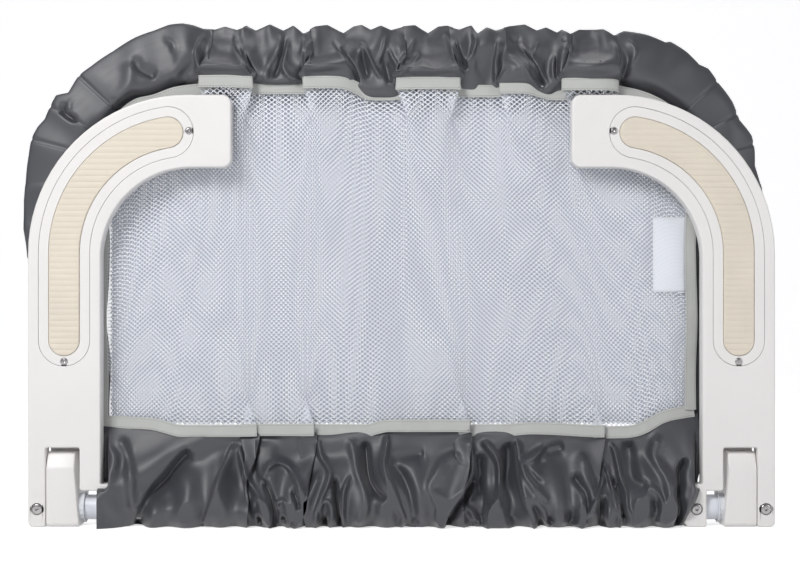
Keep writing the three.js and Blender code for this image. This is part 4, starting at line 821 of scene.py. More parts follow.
# The cover's main creases from the front, in millimetres: height (below zero for a hollow), width to its left and
# to its right, then x and z of places down its line
CREASES = (
    (3, 5, 4, -252, 81, -245, 67, -238, 46, -237, 29, -235, 15),
    (-7, 3, 8, -187, 69, -199, 55, -208, 43, -220, 30, -228, 15, -235, -1), (3, 9, 9, -210, 25, -205, 18, -201, 8),
    (4, 1.8, 5, -148, 75, -154, 60, -161, 41, -165, 25, -173, 6),
    (3.5, 3, 2.5, -145, 73, -141, 57, -135, 41, -126, 29, -118, 13, -112, 0),
    (-7, 2.5, 3, -123, 43, -116, 30, -112, 15, -113, 4), (3, 1.2, 10, -128, 78, -127, 62, -126, 48, -118, 42),
    (3.5, 2.5, 3, -123, 47, -112, 56, -102, 54, -93, 44, -87, 30, -85, 19), (-5, 2.5, 2.5, -97, 37, -91, 23, -91, 15),
    (3, 1.8, 1.8, -131, 15, -129, 24, -123, 25, -119, 15, -115, 1), (-5, 2, 2, -126, 15, -124, 4),
    (3, 1.8, 1.8, -109, 13, -109, 22, -103, 24, -98, 17, -98, 6, -101, 0), (-5, 2, 2, -104, 15, -103, 8),
    (4, 1.8, 4, -72, 51, -78, 36, -85, 20, -94, 1),
    (4, 2.5, 2, -74, 77, -71, 62, -63, 50, -64, 41, -69, 29, -74, 15, -75, 1),
    (-7, 2, 2.5, -59, 46, -58, 29, -56, 15, -54, 4), (3, 1.8, 1.8, -71, 8, -70, 20, -65, 24, -61, 17, -63, 1),
    (-5, 2, 2, -67, 15, -67, 4), (5, 1.5, 3, -44, 47, -50, 36, -52, 20, -52, 8, -51, -1),
    (3, 4, 4, -46, 79, -42, 63, -38, 48, -32, 34, -31, 18, -36, 8),
    (-6, 4, 3, -32, 77, -31, 60, -29, 43, -24, 34, -13, 25),
    (5, 3, 2, -12, 84, -13, 71, -15, 54, -8, 35, -2, 20, 2, 9, 0, 1),
    (-5, 4, 5, -13, 53, -3, 49, 6, 35, 10, 20, 12, 4), (-3, 5, 5, -13, 55, 0, 61, 21, 63),
    (3.5, 4, 6, 54, 65, 40, 59, 31, 49, 25, 37, 29, 28, 35, 20, 35, 14, 33, 7),
    (4.5, 8, 1.5, 60, 82, 62, 71, 64, 58, 64, 49, 59, 38, 50, 26, 42, 13, 37, 0),
    (-8, 2, 4, 65, 47, 63, 37, 56, 29, 48, 19, 43, 11, 40, 3), (4, 1.5, 3, 67, 54, 65, 41, 63, 32, 57, 22),
    (3, 3, 2, 47, 15, 54, 18, 60, 16, 64, 10, 68, 6, 66, 0), (-5, 2.5, 2.5, 64, 6, 64, 2),
    (-6, 4, 5, 70, 66, 69, 47, 69, 28, 70, 9),
    (5, 3, 2.5, 70, 76, 80, 67, 86, 56, 87, 43, 86, 30, 82, 20, 77, 11, 75, 0),
    (-6, 6, 6, 94, 76, 95, 56, 94, 37, 96, 20, 95, 11), (3, 2, 4, 82, 14, 86, 13, 91, 6, 96, -2),
    (5, 1.5, 5, 102, 78, 103, 63, 104, 47, 106, 33, 109, 22, 114, 12, 116, -1),
    (3.5, 3, 3, 130, 72, 119, 63, 109, 57, 107, 54, 110, 45, 117, 35, 124, 28, 128, 22),
    (-4, 4, 5, 130, 63, 124, 56, 118, 49), (-3, 3, 3, 110, 53, 117, 43, 124, 37),
    (-6, 3, 4, 112, 25, 117, 15, 120, 7, 122, 1), (3, 2, 2, 114, 31, 119, 22, 124, 15, 126, 7, 130, 3),
    (-3.5, 5, 6, 124, 58, 133, 66, 146, 69), (3, 6, 3, 158, 66, 163, 56, 166, 45, 168, 34, 169, 23),
    (-6, 3, 4, 151, 49, 156, 39, 162, 30, 163, 18, 162, 9), (4, 3, 1.5, 157, 24, 161, 16, 160, 10, 153, 3),
    (3, 2, 2, 124, 20, 125, 11, 129, 3), (-4, 3, 3, 130, 13, 129, 7), (2.5, 3, 3, 132, 18, 137, 14, 142, 6),
    (-3.5, 4, 3, 151, 20, 151, 9), (4.5, 1.5, 3, 180, 50, 176, 37, 170, 24, 163, 12, 157, 1),
    (4.5, 2, 1.5, 181, 57, 183, 47, 187, 34, 191, 20, 193, 9, 192, 1), (-7, 3, 2.5, 179, 29, 177, 18, 177, 9, 178, 1),
    (-5, 1.5, 1.5, 185, 47, 188, 34, 190, 22),
    (4, 2.5, 2, 184, 74, 189, 68, 192, 55, 194, 43, 197, 32, 197, 20, 200, 11, 201, 4),
    (-5, 2, 2, 191, 41, 192, 32, 193, 22, 194, 11), (-5, 7, 5, 203, 76, 204, 56, 206, 41, 217, 35),
    (3, 3, 3, 206, 30, 209, 18, 204, 3),
    (4.5, 4, 5, 229, 83, 223, 66, 226, 56, 232, 45, 234, 34, 234, 22, 231, 11, 227, 5),
    (3, 2, 2, 215, 37, 222, 34, 227, 27, 228, 18, 225, 7), (-3, 4, 3, 217, 28, 223, 20, 225, 13),
    (-7, 3, 3, 254, 62, 247, 51, 245, 37, 243, 28, 245, 18, 243, 3), (2.5, 5, 2, 240, 47, 241, 28, 241, 9),
    (2.5, 4, 3, 259, 45, 255, 28, 250, 14, 247, 4), (3, 1.5, 4, -174, 439, -181, 427, -183, 415, -179, 399),
    (-5, 1.5, 2, -150, 437, -146, 424, -139, 412, -131, 399), (2.5, 4, 1.5, -152, 431, -144, 414, -134, 400),
    (3, 4, 2, -112, 437, -107, 429, -111, 419, -117, 409, -121, 393),
    (3, 1.5, 3, -101, 434, -103, 420, -106, 409, -101, 399, -91, 394), (-4, 2, 2, -104, 436, -107, 414, -114, 397),
    (2.5, 2, 2, -91, 437, -87, 429, -89, 417), (3.5, 1.5, 5, -79, 437, -84, 425, -86, 414, -85, 397),
    (-5, 1.5, 1.5, -62, 432, -52, 419, -42, 405, -38, 392),
    (3.5, 2, 2, -38, 431, -33, 425, -28, 415, -23, 405, -18, 397), (-5, 3, 3, -37, 424, -33, 409, -30, 397),
    (2.5, 2, 2, -35, 432, -37, 420, -39, 409), (3, 2, 2, -13, 439, -16, 424, -22, 409),
    (3, 2, 2, -13, 427, -8, 415, -3, 407), (-4, 3, 3, -16, 417, -13, 405, -10, 392),
    (3, 2, 2, 12, 434, 9, 424, 2, 415, -5, 402, -8, 390), (3, 2, 2, 10, 420, 15, 417, 7, 407, -1, 399, -7, 390),
    (3, 3, 1.5, 39, 441, 44, 427, 49, 414, 52, 397), (-5, 1.5, 1.5, 48, 434, 51, 420, 58, 405),
    (2, 2, 2, 61, 441, 66, 429, 61, 417), (-4, 1.5, 2, 51, 415, 55, 409, 58, 404),
    (2.5, 2, 2, 63, 441, 66, 431, 62, 417, 57, 410), (3.5, 1.5, 5, 87, 436, 85, 422, 83, 408, 84, 392),
    (-4, 3, 3, 98, 437, 100, 432, 103, 426), (-5, 1.5, 2, 106, 437, 104, 428, 110, 419, 118, 408, 124, 395, 126, 388),
    (3, 2, 3, 108, 427, 114, 417, 121, 406, 129, 392), (3, 2.5, 2, 91, 418, 100, 414, 109, 405, 114, 396, 123, 387),
    (-3, 2, 3, 100, 407, 90, 400, 85, 392), (2.5, 3, 2, 123, 432, 118, 420, 115, 414),
    (3, 3, 2, 137, 420, 135, 408, 135, 395), (-4, 2, 2, 140, 419, 138, 408, 138, 397), (-5, 2, 2, 145, 436, 145, 428),
    (3.5, 1.5, 6, 149, 432, 142, 419, 140, 408, 140, 397), (3, 6, 1.5, 187, 432, 194, 419, 196, 408, 191, 392),
    (-4, 2, 4, 196, 427, 201, 410, 193, 392), (2.5, 3, 2, 201, 434, 208, 423, 206, 414, 202, 406),
    (2, 3, 3, -215, 435, -204, 428, -203, 419), (-4, 3, 6, -238, 419, -234, 406, -218, 398),
    (-7, 2.5, 2.5, -301, 378, -301, 368, -289, 359), (2, 2, 2, -293, 381, -296, 374, -296, 365),
    (2.5, 8, 5, -242, 415, -242, 394, -251, 374),
)

GORES = (15.0, 27.3, 41.6)  # angles of the seams across the sleeve's corners, in degrees above level


def blurred(values, width):
    """A running mean over rows, with its ends held, repeated to make it smooth."""
    width = max(1, int(width))
    for _ in range(3):
        wide = np.concatenate([np.repeat(values[:1], width, 0), values, np.repeat(values[-1:], width, 0)])
        total = np.cumsum(np.concatenate([np.zeros_like(wide[:1]), wide]), 0)
        values = (total[2 * width + 1 :] - total[: -2 * width - 1]) / (2 * width + 1)
    return values


def blurred_both(surface, width):
    """A running mean over the rows and the columns of a cloth grid."""
    return blurred(blurred(surface, width).swapaxes(0, 1), width).swapaxes(0, 1)


def from_seams(rows):
    """How many rows each row of a cloth grid is from the nearer seam."""
    return np.minimum(np.arange(rows), np.arange(rows)[::-1])


def picked(at, run, points):
    """A curve at the places at, where run says how far along it each of its points is."""
    return np.stack([np.interp(at, run, column) for column in points.T], 1)


def even(points, step):
    """A curve sampled at even steps of its own length."""
    run = np.concatenate([[0], np.cumsum(np.linalg.norm(np.diff(points, axis=0), axis=1))])
    return picked(np.linspace(0, run[-1], int(run[-1] / step) + 1), run, points)


def fold_table():
    """The fold places in metres and in the frame's own y, sampled finely and evenly along both tapes together."""
    table = np.array(FOLDS) * MM
    table[:, [1, 4]] += AXLE_Y
    return even(spline(table, np.linspace(0, len(table) - 1, 1400)), 1.0 * MM)


def seam_line():
    """The sleeve's front seam: up the left side, along the top with its folds and down the right side. Each side
    wanders a little round its own distance from the middle, and eases into the end of the top over 60 mm."""
    top = fold_table()[:, :3]
    rows = []
    for sign, out, end in ((-1, 267.5 * MM, top[0]), (1, 258.7 * MM, top[-1])):
        z = np.arange(84 * MM, end[2], 1.5 * MM)
        ease = soft_step(z, end[2] - 60 * MM, end[2])
        x = sign * (out + 0.7 * MM * np.sin(z / (23 * MM))) * (1 - ease) + end[0] * ease
        y = AXLE_Y + (9 + 1.2 * np.sin(z / (19 * MM)) + 0.8 * np.sin(z / (11 * MM) + 1)) * MM
        rows.append(np.stack([x, y * (1 - ease) + end[1] * ease, z], 1))
    return rows[0], top, rows[1][::-1]


def on_rail(points):
    """For points near the tube: the nearest place on its middle line, and the outward direction there."""
    x, z = np.abs(points[:, 0]), points[:, 2]
    turn = np.arctan2(np.maximum(z - BEND_Z, 0), np.maximum(x - BEND_X, 0))
    turn = np.where(x < BEND_X, math.pi / 2, np.where(z < BEND_Z, 0, turn))
    sign = np.sign(points[:, 0])
    out = np.stack([sign * np.cos(turn), np.zeros_like(x), np.sin(turn)], 1)
    base = np.stack([sign * np.minimum(x, BEND_X), np.full_like(x, TUBE_Y), np.minimum(z, BEND_Z)], 1)
    return base + BEND * out, out


def beyond_rail(points):
    """How far outward each point is from the tube's middle line, and the outward direction there."""
    base, out = on_rail(points)
    return ((points - base) * out).sum(1), out


def rail_run(points):
    """How far along the tube's middle line each place is from the middle of the rail, to the right."""
    base, out = on_rail(points)
    turn = np.arctan2(np.abs(out[:, 0]), out[:, 2])
    run = np.minimum(np.abs(base[:, 0]), BEND_X) + BEND * turn + np.maximum(BEND_Z - points[:, 2], 0)
    return np.sign(points[:, 0]) * np.where(np.abs(points[:, 0]) < BEND_X, np.abs(points[:, 0]), run)


def outline_reach():
    """The outline as places along the rail and distances from the tube's middle line."""
    x, z = np.array(OUTLINE).T * MM
    points = np.stack([x, np.full_like(x, TUBE_Y), z], 1)
    run, (reach, _) = rail_run(points), beyond_rail(points)
    order = np.argsort(run)
    return run[order], reach[order]


def within_outline(points):
    """Pulls the sleeve in to the outline measured from the front, easing over its last millimetre. On the left and
    in the middle the cloth stands a little behind the outline's own plane, so it is held further in there. Below
    the measured outline it stays within 20 mm of the tube's middle line."""
    flat = points.reshape(-1, 3)
    further_in = 1.7 * MM * (1 - soft_step(flat[:, 0], 130 * MM, 230 * MM))
    limit = np.interp(rail_run(flat), *outline_reach()) - further_in
    below = np.interp(flat[:, 2], [190 * MM, 234 * MM], [20 * MM, 40 * MM])
    beyond, out = beyond_rail(flat)
    excess = only_above(beyond - np.minimum(limit, below), 1.2 * MM)
    return (flat - out * excess[:, None]).reshape(points.shape)


def clear_of_arms(points):
    """Moves cloth back where an arm lies in front of it: between the radii of the arm's bend and past its tip. The
    edges of the covered part are soft, and other cloth may come forward to the arm's front."""
    rear, thick = AXLE_Y + 1.0 * MM, 29 * MM
    x, y, z = np.abs(points[..., 0]), points[..., 1], points[..., 2]
    reach = np.hypot(np.maximum(x - GRIP_X, 0), np.maximum(z - GRIP_Z, 0))
    covered = soft_step(x, 138 * MM, 149 * MM) * (1 - soft_step(z, ARM_TOP, ARM_TOP + 8 * MM))
    covered *= soft_step(reach, 66 * MM, 73 * MM) * (1 - soft_step(reach, OUTER_BEND, OUTER_BEND + 9 * MM))
    covered *= np.maximum(soft_step(z, 30 * MM, 40 * MM), soft_step(x, 266 * MM, 270 * MM))
    moved = points.copy()
    moved[..., 1] = np.maximum(y, rear - thick * (1 - covered))
    return moved


def wander(run, pitch, phase):
    """A wave whose pitch wanders, from -1 to 1."""
    drift = 0.5 * np.sin(run / (2.9 * pitch) + phase) + 0.35 * np.sin(run / (1.6 * pitch) + 1)
    return np.sin(2 * math.pi * run / pitch + 2.4 * drift + phase)


def spaced(seam, step):
    """A seam sampled by even steps of its own length or of the tube's beside it, whichever is longer."""
    seam = even(seam, 1.0 * MM)
    tube, _ = on_rail(blurred(seam, 22))
    own = np.linalg.norm(np.diff(seam, axis=0), axis=1)
    far = 0.95 * np.linalg.norm(np.diff(tube, axis=0), axis=1)
    run = np.concatenate([[0], np.cumsum(np.maximum(own, far))])
    return picked(np.linspace(0, run[-1], int(run[-1] / step) + 1), run, seam)


# How much each place of the sleeve's section shares the front seam's slip to the side in its folds
SLIPS = ((1.0,), (0.9,), (0.55,), (0.3,), (0.35,), (0.35,), (0.4,), (0.5,), (0.7,))


def sleeve_surface(sizes, loose, flare):
    """The sleeve round the upper tube, and the cut of its cloth. Down each column the cloth leaves the front seam,
    swells forward, passes over the tube and comes down behind it to the rear seam. The cut is the same shape
    without folds: as long as its seam or the tube, whichever is longer, loose times deeper, and curved as a
    flared skirt is, with a radius of flare, so that it is longer round the tube than at its seams."""
    seam = spaced(np.concatenate(seam_line()), STEP)
    smooth = blurred(seam, PLAIN / STEP)
    tube, out = on_rail(smooth)
    count = len(seam)
    run = np.arange(count) * STEP
    left = (seam[:, 0] < 0).astype(float)
    place_, reach_ = outline_reach()
    along_rail = rail_run(smooth)
    swell = np.interp(along_rail, place_, reach_, left=18 * MM, right=15 * MM) - 0.5 * MM
    low = (along_rail < place_[0]) | (along_rail > place_[-1])
    swell = np.where(low, np.interp(smooth[:, 2], [90 * MM, 240 * MM], [12 * MM, 22 * MM]), swell)
    lip = blurred((smooth[:, 2:] < 318 * MM).astype(float), 12)[:, 0] * left * 7 * MM
    depth = np.clip((smooth[:, 1] - seam[:, 1]) / (5 * MM), -1, 1)
    high = ((seam - tube) * out).sum(1)
    level = ((smooth - tube) * out).sum(1)
    zero = np.zeros(count)
    deep = np.linspace(0, len(SLIPS) - 1, int(SLEEVE_DEEP / STEP * 0.85) + 1)

    def section(high_, front, puff, broad, rear):
        """The section's places, outward and back from the tube's middle line, smoothly joined at each column."""
        places = (
            (high_, front),
            (high_ + 7 * MM - lip, front - puff * 0.5 - 1 * MM),
            (high_ * 0.45, np.minimum(-16.5 * MM, front - 2 * MM) - puff * 0.8 + broad * 0.5),
            (4 * MM + broad * 0.3, -17 * MM - puff * 0.5 - broad * 0.6),
            (swell - 0.5 * MM, -7 * MM),
            (swell, 5 * MM),
            (4 * MM + broad + (swell - 17 * MM) * 0.7, 16 * MM + broad * 0.4),
            (-14 * MM, 11.5 * MM + rear * 0.8),
            (-30 * MM, -3 * MM + rear),
        )
        return spline(np.stack([np.stack([outward + zero, back + zero], 1) for outward, back in places]), deep)

    broad, rear = 1.0 * MM * wander(run, 34 * MM, 0.0), 2.5 * MM * wander(run, 29 * MM, 2.0)
    folded = section(high, seam[:, 1] - TUBE_Y + 0.4 * MM, sizes.puff * (0.5 + 0.5 * depth), broad, rear)
    plain = section(level, smooth[:, 1] - TUBE_Y + 0.4 * MM, 0.5 * sizes.puff + zero, zero, zero)
    y_hat = np.array([0, 1.0, 0])
    slip = (seam - smooth) * [1, 0, 1] * spline(SLIPS, deep)[:, None]
    start = tube + out * folded[..., :1] + y_hat * folded[..., 1:] + slip
    bend = np.unwrap(np.arctan2(out[:, 2], out[:, 0]))
    reach = np.linalg.norm(np.gradient(tube, axis=0), axis=1)
    along = np.maximum(1.05 * STEP, 1.04 * reach)
    bend = bend[0] + np.cumsum(np.gradient(bend) * along / np.maximum(reach, 1e-9) + along / flare)
    out_cut = np.stack([np.cos(bend), 0 * bend, np.sin(bend)], 1)
    line = np.cumsum(along[:, None] * np.stack([np.sin(bend), 0 * bend, -np.cos(bend)], 1), 0)
    cut = line + (out_cut * plain[..., :1] + y_hat * plain[..., 1:]) * loose
    dips = place_[1:-1][(reach_[1:-1] < reach_[:-2]) & (reach_[1:-1] < reach_[2:])]
    held = np.zeros(start.shape[:2], bool)
    columns = np.abs(along_rail[:, None] - dips).argmin(0)
    held[int(4.2 / 8 * len(deep)) : int(5.2 / 8 * len(deep)), columns] = True
    return clear_of_arms(start), cut, held


# Where the skirt is drawn in at its bottom edge, in millimetres from the middle
PINCHES = (
    (-262, -236, -203, -172, -150, -127, -107, -87, -67, -50, -26)
    + (0, 26, 40, 66, 106, 126, 148, 169, 198, 222, 248)
)

# Places down the skirt's section: height, depth from the axle, how much it swells, shares of the seam's folds, of
# the bottom's wave and of the rear seam's gathers, then x at the left and the right end, in millimetres. The first
# place is the seam itself, which has its own height and depth.
SKIRT = (
    (0, 0, 0, 1, 0, 0, -269, 266),
    (78, -1, 0.4, 0.95, 0, 0, -268, 266),
    (62, -8, 0.9, 0.75, 0.25, 0, -264.5, 265.5),
    (40, -14, 1.0, 0.5, 0.6, 0, -264.5, 259),
    (17, -17, 0.7, 0.3, 0.9, 0, -264.5, 251),
    (1.5, -9, 0, 0.2, 1, 0, -264, 246),
    (2.2, 5, 0, 0.2, 0.3, 0, -246.5, 246),
    (16, 16, 0.2, 0.3, 0.2, 0, -246, 246),
    (52, 15, 0.2, 0.4, 0, 0.4, -252, 252),
    (86, 13, 0, 0.6, 0, 1, -262, 262),
)
BOTTOM = 5  # the place in SKIRT where the cloth turns under the bottom tube


def skirt_surface(sizes, loose, flare):
    """The skirt: from the bottom tape down the front, under the bottom tube and up to its rear seam. Along its
    bottom it is drawn in at its pinches and swells between them: the wave is the sine of how far a place is from
    one pinch to the next. Its cut is the same shape without folds: as long as its seam, loose times deeper and
    flared towards the bottom tube."""
    table = even(fold_table()[:, 3:], STEP)
    smooth = blurred(table, PLAIN / STEP)
    run = np.arange(len(table)) * STEP
    depth = np.clip((smooth[:, 1] - table[:, 1]) / (4 * MM), -1, 1)
    slip = table - smooth
    pinches = np.array(PINCHES) * MM
    order = np.interp(smooth[:, 0], pinches, np.arange(len(pinches)))
    gap = np.interp(order, np.arange(len(pinches) - 1) + 0.5, np.diff(pinches))
    open_ = np.abs(np.sin(math.pi * order)) ** 0.8
    wave = np.clip(0.3 * gap, 4 * MM, 11 * MM) * (open_ - 0.5)
    rear = 2.5 * MM * wander(run, 30 * MM, 1.0)
    left = soft_step(-smooth[:, 0], 238 * MM, 262 * MM)
    right = soft_step(smooth[:, 0], 205 * MM, 262 * MM)
    at = np.linspace(0, len(SKIRT) - 1, int(SKIRT_DEEP / STEP * 0.72) + 1)

    def section(folded):
        made = []
        for i, (z, y, give, fold, wide, fine, low_x, high_x) in enumerate(SKIRT):
            x = smooth[:, 0] + slip[:, 0] * fold * folded
            if folded:
                x = x + (low_x * MM - x[0]) * left + (high_x * MM - x[-1]) * right
            height = z * MM + (wide * 0.16 * (7 * MM - wave) * folded if BOTTOM <= i <= BOTTOM + 1 else 0)
            puff = sizes.skirt_puff * (0.5 + 0.5 * depth * folded) * give
            deep = AXLE_Y + y * MM - puff + (rear * fine - wave * wide) * folded
            if folded and 1 < i <= BOTTOM:
                front = AXLE_Y + (-23.5 if i > 3 else -20) * MM
                deep = deep * (1 - left) + np.minimum(deep, front) * left
            if i == 0:
                seam = table if folded else smooth
                height, deep = seam[:, 2], seam[:, 1] + 0.4 * MM
            made.append(np.stack([x, deep, height + 0 * x], 1))
        return spline(np.stack(made), at)

    start = section(1.0)
    start[..., 2] = np.maximum(start[..., 2], 0.6 * MM)
    cut = section(0.0) * [1, loose, loose]
    turn = run / flare
    ray = flare + cut[0, :, 2].mean() - cut[..., 2]
    cut = np.stack([ray * np.sin(turn), cut[..., 1], -ray * np.cos(turn)], -1)
    held = np.zeros(start.shape[:2], bool)
    held[int(np.abs(at - BOTTOM).argmin())] = True
    held[:, [0, -1]] = True
    return clear_of_arms(start), cut, held


def cloth_forms():
    """Stand-ins for what the cloth rests on: the tubes and the arms."""
    skin = finish_named("powder coat")
    made = []
    for sign in (-1, 1):
        tube = bent_tube(COVER_RADIUS, -2 * MM, 60 * MM, sign)
        made.append(make_object("form_tube", *tube, skin, outward=True))
        points, faces = plate(arm_outline(0.3), ARM_FRONT, AXLE_Y + 0.3 * MM, 1.5 * MM)
        made.append(make_object("form_arm", turned(points, FROM_FRONT, sign), faces, skin, outward=True))
    points, faces = tube_ring(COVER_RADIUS, 9 * MM, -300 * MM, 300 * MM, 32)
    points = turned(points, FROM_SIDE) + [0, AXLE_Y, AXLE_Z]
    return made + [make_object("form_axle", points, faces, skin, outward=True)]


def relaxed(start, rest, held, bend, push, weight):
    """Cloth that starts at start and is cut to the size of rest, let go over the stand-ins until it settles. Its
    first and last rows are sewn down, and so are its held places, and what it has too much of gathers between
    them. bend is its stiffness, push the air that swells it and weight the share of its own weight."""
    rows, columns = start.shape[:2]
    forms = cloth_forms()
    faces = grid_faces(rows, columns)[:, ::-1]
    thing = make_object("loose_cloth", start, faces, finish_named("grey satin"), sharp=0)
    thing.shape_key_add(name="start")
    cut = thing.shape_key_add(name="cut")
    cut.data.foreach_set("co", np.asarray(rest, np.float32).ravel())
    sewn = thing.vertex_groups.new(name="sewn")
    held[[0, -1]] = True
    sewn.add(np.flatnonzero(held).tolist(), 1.0, "REPLACE")
    cloth = thing.modifiers.new("cloth", "CLOTH")
    own, touch = cloth.settings, cloth.collision_settings
    own.rest_shape_key = cut
    own.vertex_group_mass = "sewn"
    own.quality = 6
    own.mass = 0.12
    own.tension_stiffness = own.compression_stiffness = 30
    own.shear_stiffness = 8
    own.bending_stiffness = bend
    own.tension_damping = own.compression_damping = own.shear_damping = 5
    own.air_damping = 3
    own.effector_weights.gravity = weight
    own.use_pressure = True
    own.uniform_pressure_force = push
    touch.distance_min = 1.0 * MM
    touch.collision_quality = 2
    touch.use_self_collision = False
    cloth.point_cache.frame_start, cloth.point_cache.frame_end = 1, SETTLE
    for form in forms:
        form.modifiers.new("solid", "COLLISION")
        form.collision.thickness_outer = 1.0 * MM
        form.collision.cloth_friction = 3.0
    scene = bpy.context.scene
    for frame_ in range(1, SETTLE + 1):
        scene.frame_set(frame_)
    seen = thing.evaluated_get(bpy.context.evaluated_depsgraph_get())
    points = np.zeros(rows * columns * 3, np.float32)
    seen.data.vertices.foreach_get("co", points)
    scene.frame_set(1)
    for gone in (thing, *forms):
        bpy.data.objects.remove(gone, do_unlink=True)
    return points.reshape(rows, columns, 3).astype(float)


def deepened(surface, width, gain):
    """Makes folds deeper: each place moves away from the mean of the cloth round it, less so near the seams."""
    near_seam = from_seams(len(surface)) / (0.12 * len(surface))
    share = gain * (surface - blurred_both(surface, width))
    return surface + share * soft_step(near_seam, 0.1, 1.0)[:, None, None]


def finer(surface):
    """A grid with a smooth row and column between every two of its own."""
    for axis in (0, 1):
        count = surface.shape[axis]
        doubled = spline(np.moveaxis(surface, axis, 0), np.linspace(0, count - 1, 2 * count - 1))
        surface = np.moveaxis(doubled, 0, axis)
    return surface


def smoothed(surface, width):
    """Cloth without its smallest crumples: a running mean along both ways, easing out towards its two seams, and
    again with a wider mean round the sleeve's corners."""
    share = soft_step(from_seams(len(surface)) / len(surface), 0.0, 0.06)[:, None] * np.ones(surface.shape[1])
    surface = surface + (blurred_both(surface, width) - surface) * share[..., None]
    calm = blurred_both(surface, 3 * width)
    x, z = np.abs(surface[..., 0]), surface[..., 2]
    share = share * soft_step(x, 190 * MM, 215 * MM) * (z > BEND_Z)
    share = share * soft_step(np.hypot(x - BEND_X, z - BEND_Z), 60 * MM, 90 * MM)
    return surface + (calm - surface) * share[..., None]


def creased(surface, front, gain):
    """Draws the main creases into the cloth's front. A place moves forward by the crease's height times a bell
    curve of its distance from the crease's line, which has one width to its left and another to its right, and the
    crease rises over its first 10 mm and fades over its last 6 mm, unless it ends at the skirt's bottom edge. Hollows
    stop at the tubes. Near the bottom the cloth also moves down by a share of how far it moves back."""
    points = surface.copy()
    x, z = surface[..., 0], surface[..., 2]
    push = np.zeros(x.shape)
    for height, left, right, *spots in CREASES:
        spots = np.array(spots).reshape(-1, 2) * MM
        line = even(spline(spots, np.linspace(0, len(spots) - 1, 60)), 1.0 * MM)
        wide = 2.5 * max(left, right) * MM
        low, high = line.min(0) - wide, line.max(0) + wide
        near = (x > low[0]) & (x < high[0]) & (z > low[1]) & (z < high[1])
        away = np.stack([x[near], z[near]], 1)[:, None] - line
        apart = (away**2).sum(2)
        k = apart.argmin(1)
        ahead = np.gradient(line, axis=0)[k]
        off = away[np.arange(len(k)), k]
        to_right = ahead[:, 0] * off[:, 1] - ahead[:, 1] * off[:, 0] > 0
        bell = np.exp(-apart.min(1) / (np.where(to_right, right, left) * MM) ** 2)
        rise = soft_step(k * MM, 0, 10 * MM)
        if line[-1, 1] > 12 * MM:
            rise = rise * soft_step((len(line) - k) * MM, 0, 6 * MM)
        push[near] += height * MM * bell * rise
    points[..., 1] -= push * front * gain
    bottom = (z < 60 * MM) * soft_step(-z, -13 * MM, -2 * MM)
    points[..., 2] += np.clip(-0.45 * gain * push, -0.5 * MM, 3.5 * MM) * bottom * front
    beyond = beyond_rail(surface.reshape(-1, 3))[0].reshape(x.shape)
    for away, centre in ((z - AXLE_Z, AXLE_Y), (beyond, TUBE_Y)):
        tube = np.sqrt(np.maximum((13 * MM) ** 2 - away**2, 0))
        limit = centre - tube - 0.8 * MM
        stopped = limit - only_above(limit - points[..., 1], 1.0 * MM)
        points[..., 1] = np.where((tube > 0) & (front > 0), stopped, points[..., 1])
    return points


def gore_seams(surface):
    """Sews a narrow groove into the sleeve at each of its gores, and returns the places of the seams' stitches:
    their paths and the cloth's outward direction."""
    cell = STEP / 4
    normal = np.cross(np.gradient(surface, axis=1), np.gradient(surface, axis=0))
    normal /= np.maximum(np.linalg.norm(normal, axis=2), 1e-12)[..., None]
    crest = len(surface) * 9 // 16  # the row that lies over the tube
    if (normal[crest] * on_rail(surface[crest])[1]).sum() < 0:
        normal = -normal
    run = rail_run(surface[crest])
    rows = slice(6, int(len(surface) * 0.8))  # from the front seam to behind the tube
    seams, sunk = [], surface.copy()
    for side, sign in SIDES:
        for angle in GORES:
            column = int(np.abs(run - sign * (BEND_X + BEND * math.radians(90 - angle))).argmin())
            away = (np.arange(surface.shape[1]) - column) * cell
            sunk -= normal * (0.9 * MM * np.exp(-((away / (1.3 * MM)) ** 2)))[:, None]
            beside = column + sign * int(2.4 * MM / cell)
            seams.append((side, surface[rows, beside], normal[rows, beside]))
    return sunk, seams


def middle_column(surface):
    """The column of a cloth grid nearest to the middle of the rail."""
    return int(np.argmin(np.abs(blurred(surface[:, :, 0].T, 4).mean(1))))


def stretch(thing, side):
    """Bakes the piece's transform into its mesh, so that it sits at the origin."""
    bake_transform(thing)


def flat_grid(rows, columns, step):
    """Places on the flat cloth, in metres."""
    across, down = np.arange(columns)[None] * step, np.arange(rows)[:, None] * step
    return np.stack(np.broadcast_arrays(across, down), -1).astype(float)


def cut_size(cut):
    """The width, height and area of a cut: its longest row, its longest column and the sum of its cells."""
    along, down = np.diff(cut, axis=1), np.diff(cut, axis=0)
    width, height = np.linalg.norm(along, axis=2).sum(1).max(), np.linalg.norm(down, axis=2).sum(0).max()
    area = np.linalg.norm(np.cross(along[:-1], down[:, :-1]), axis=2).sum()
    return width, height, min(area, width * height)


def net_surface(t, s):
    """The net between the two tapes: t runs from the top tape (0) to the bottom one (1), and s along the fence.
    The sharp folds at the tapes ease into slow waves between them."""
    table = fold_table()
    i = s * (len(table) - 1)
    pick = lambda a: np.stack([np.interp(i, np.arange(len(a)), a[:, k]) for k in range(6)], -1)
    sharp, soft, softer = pick(table), pick(blurred(table, 22)), pick(blurred(table, 36))
    near, down = np.minimum(t, 1 - t)[..., None], t[..., None]
    a = soft_step(near, 0.0, 0.13)
    b = soft_step(near, 0.08, 0.4)
    mixed = sharp * (1 - a) + soft * a * (1 - b) + softer * a * b
    points = mixed[..., :3] * (1 - down) + mixed[..., 3:] * down
    points[..., 2] = sharp[..., 2] * (1 - t) + sharp[..., 5] * t
    calm = AXLE_Y + 7 * MM  # where the middle of the net hangs
    points[..., 1] += (calm - softer[..., 1] * (1 - t) - softer[..., 4] * t) * (a * b)[..., 0]
    return clear_of_arms(points)


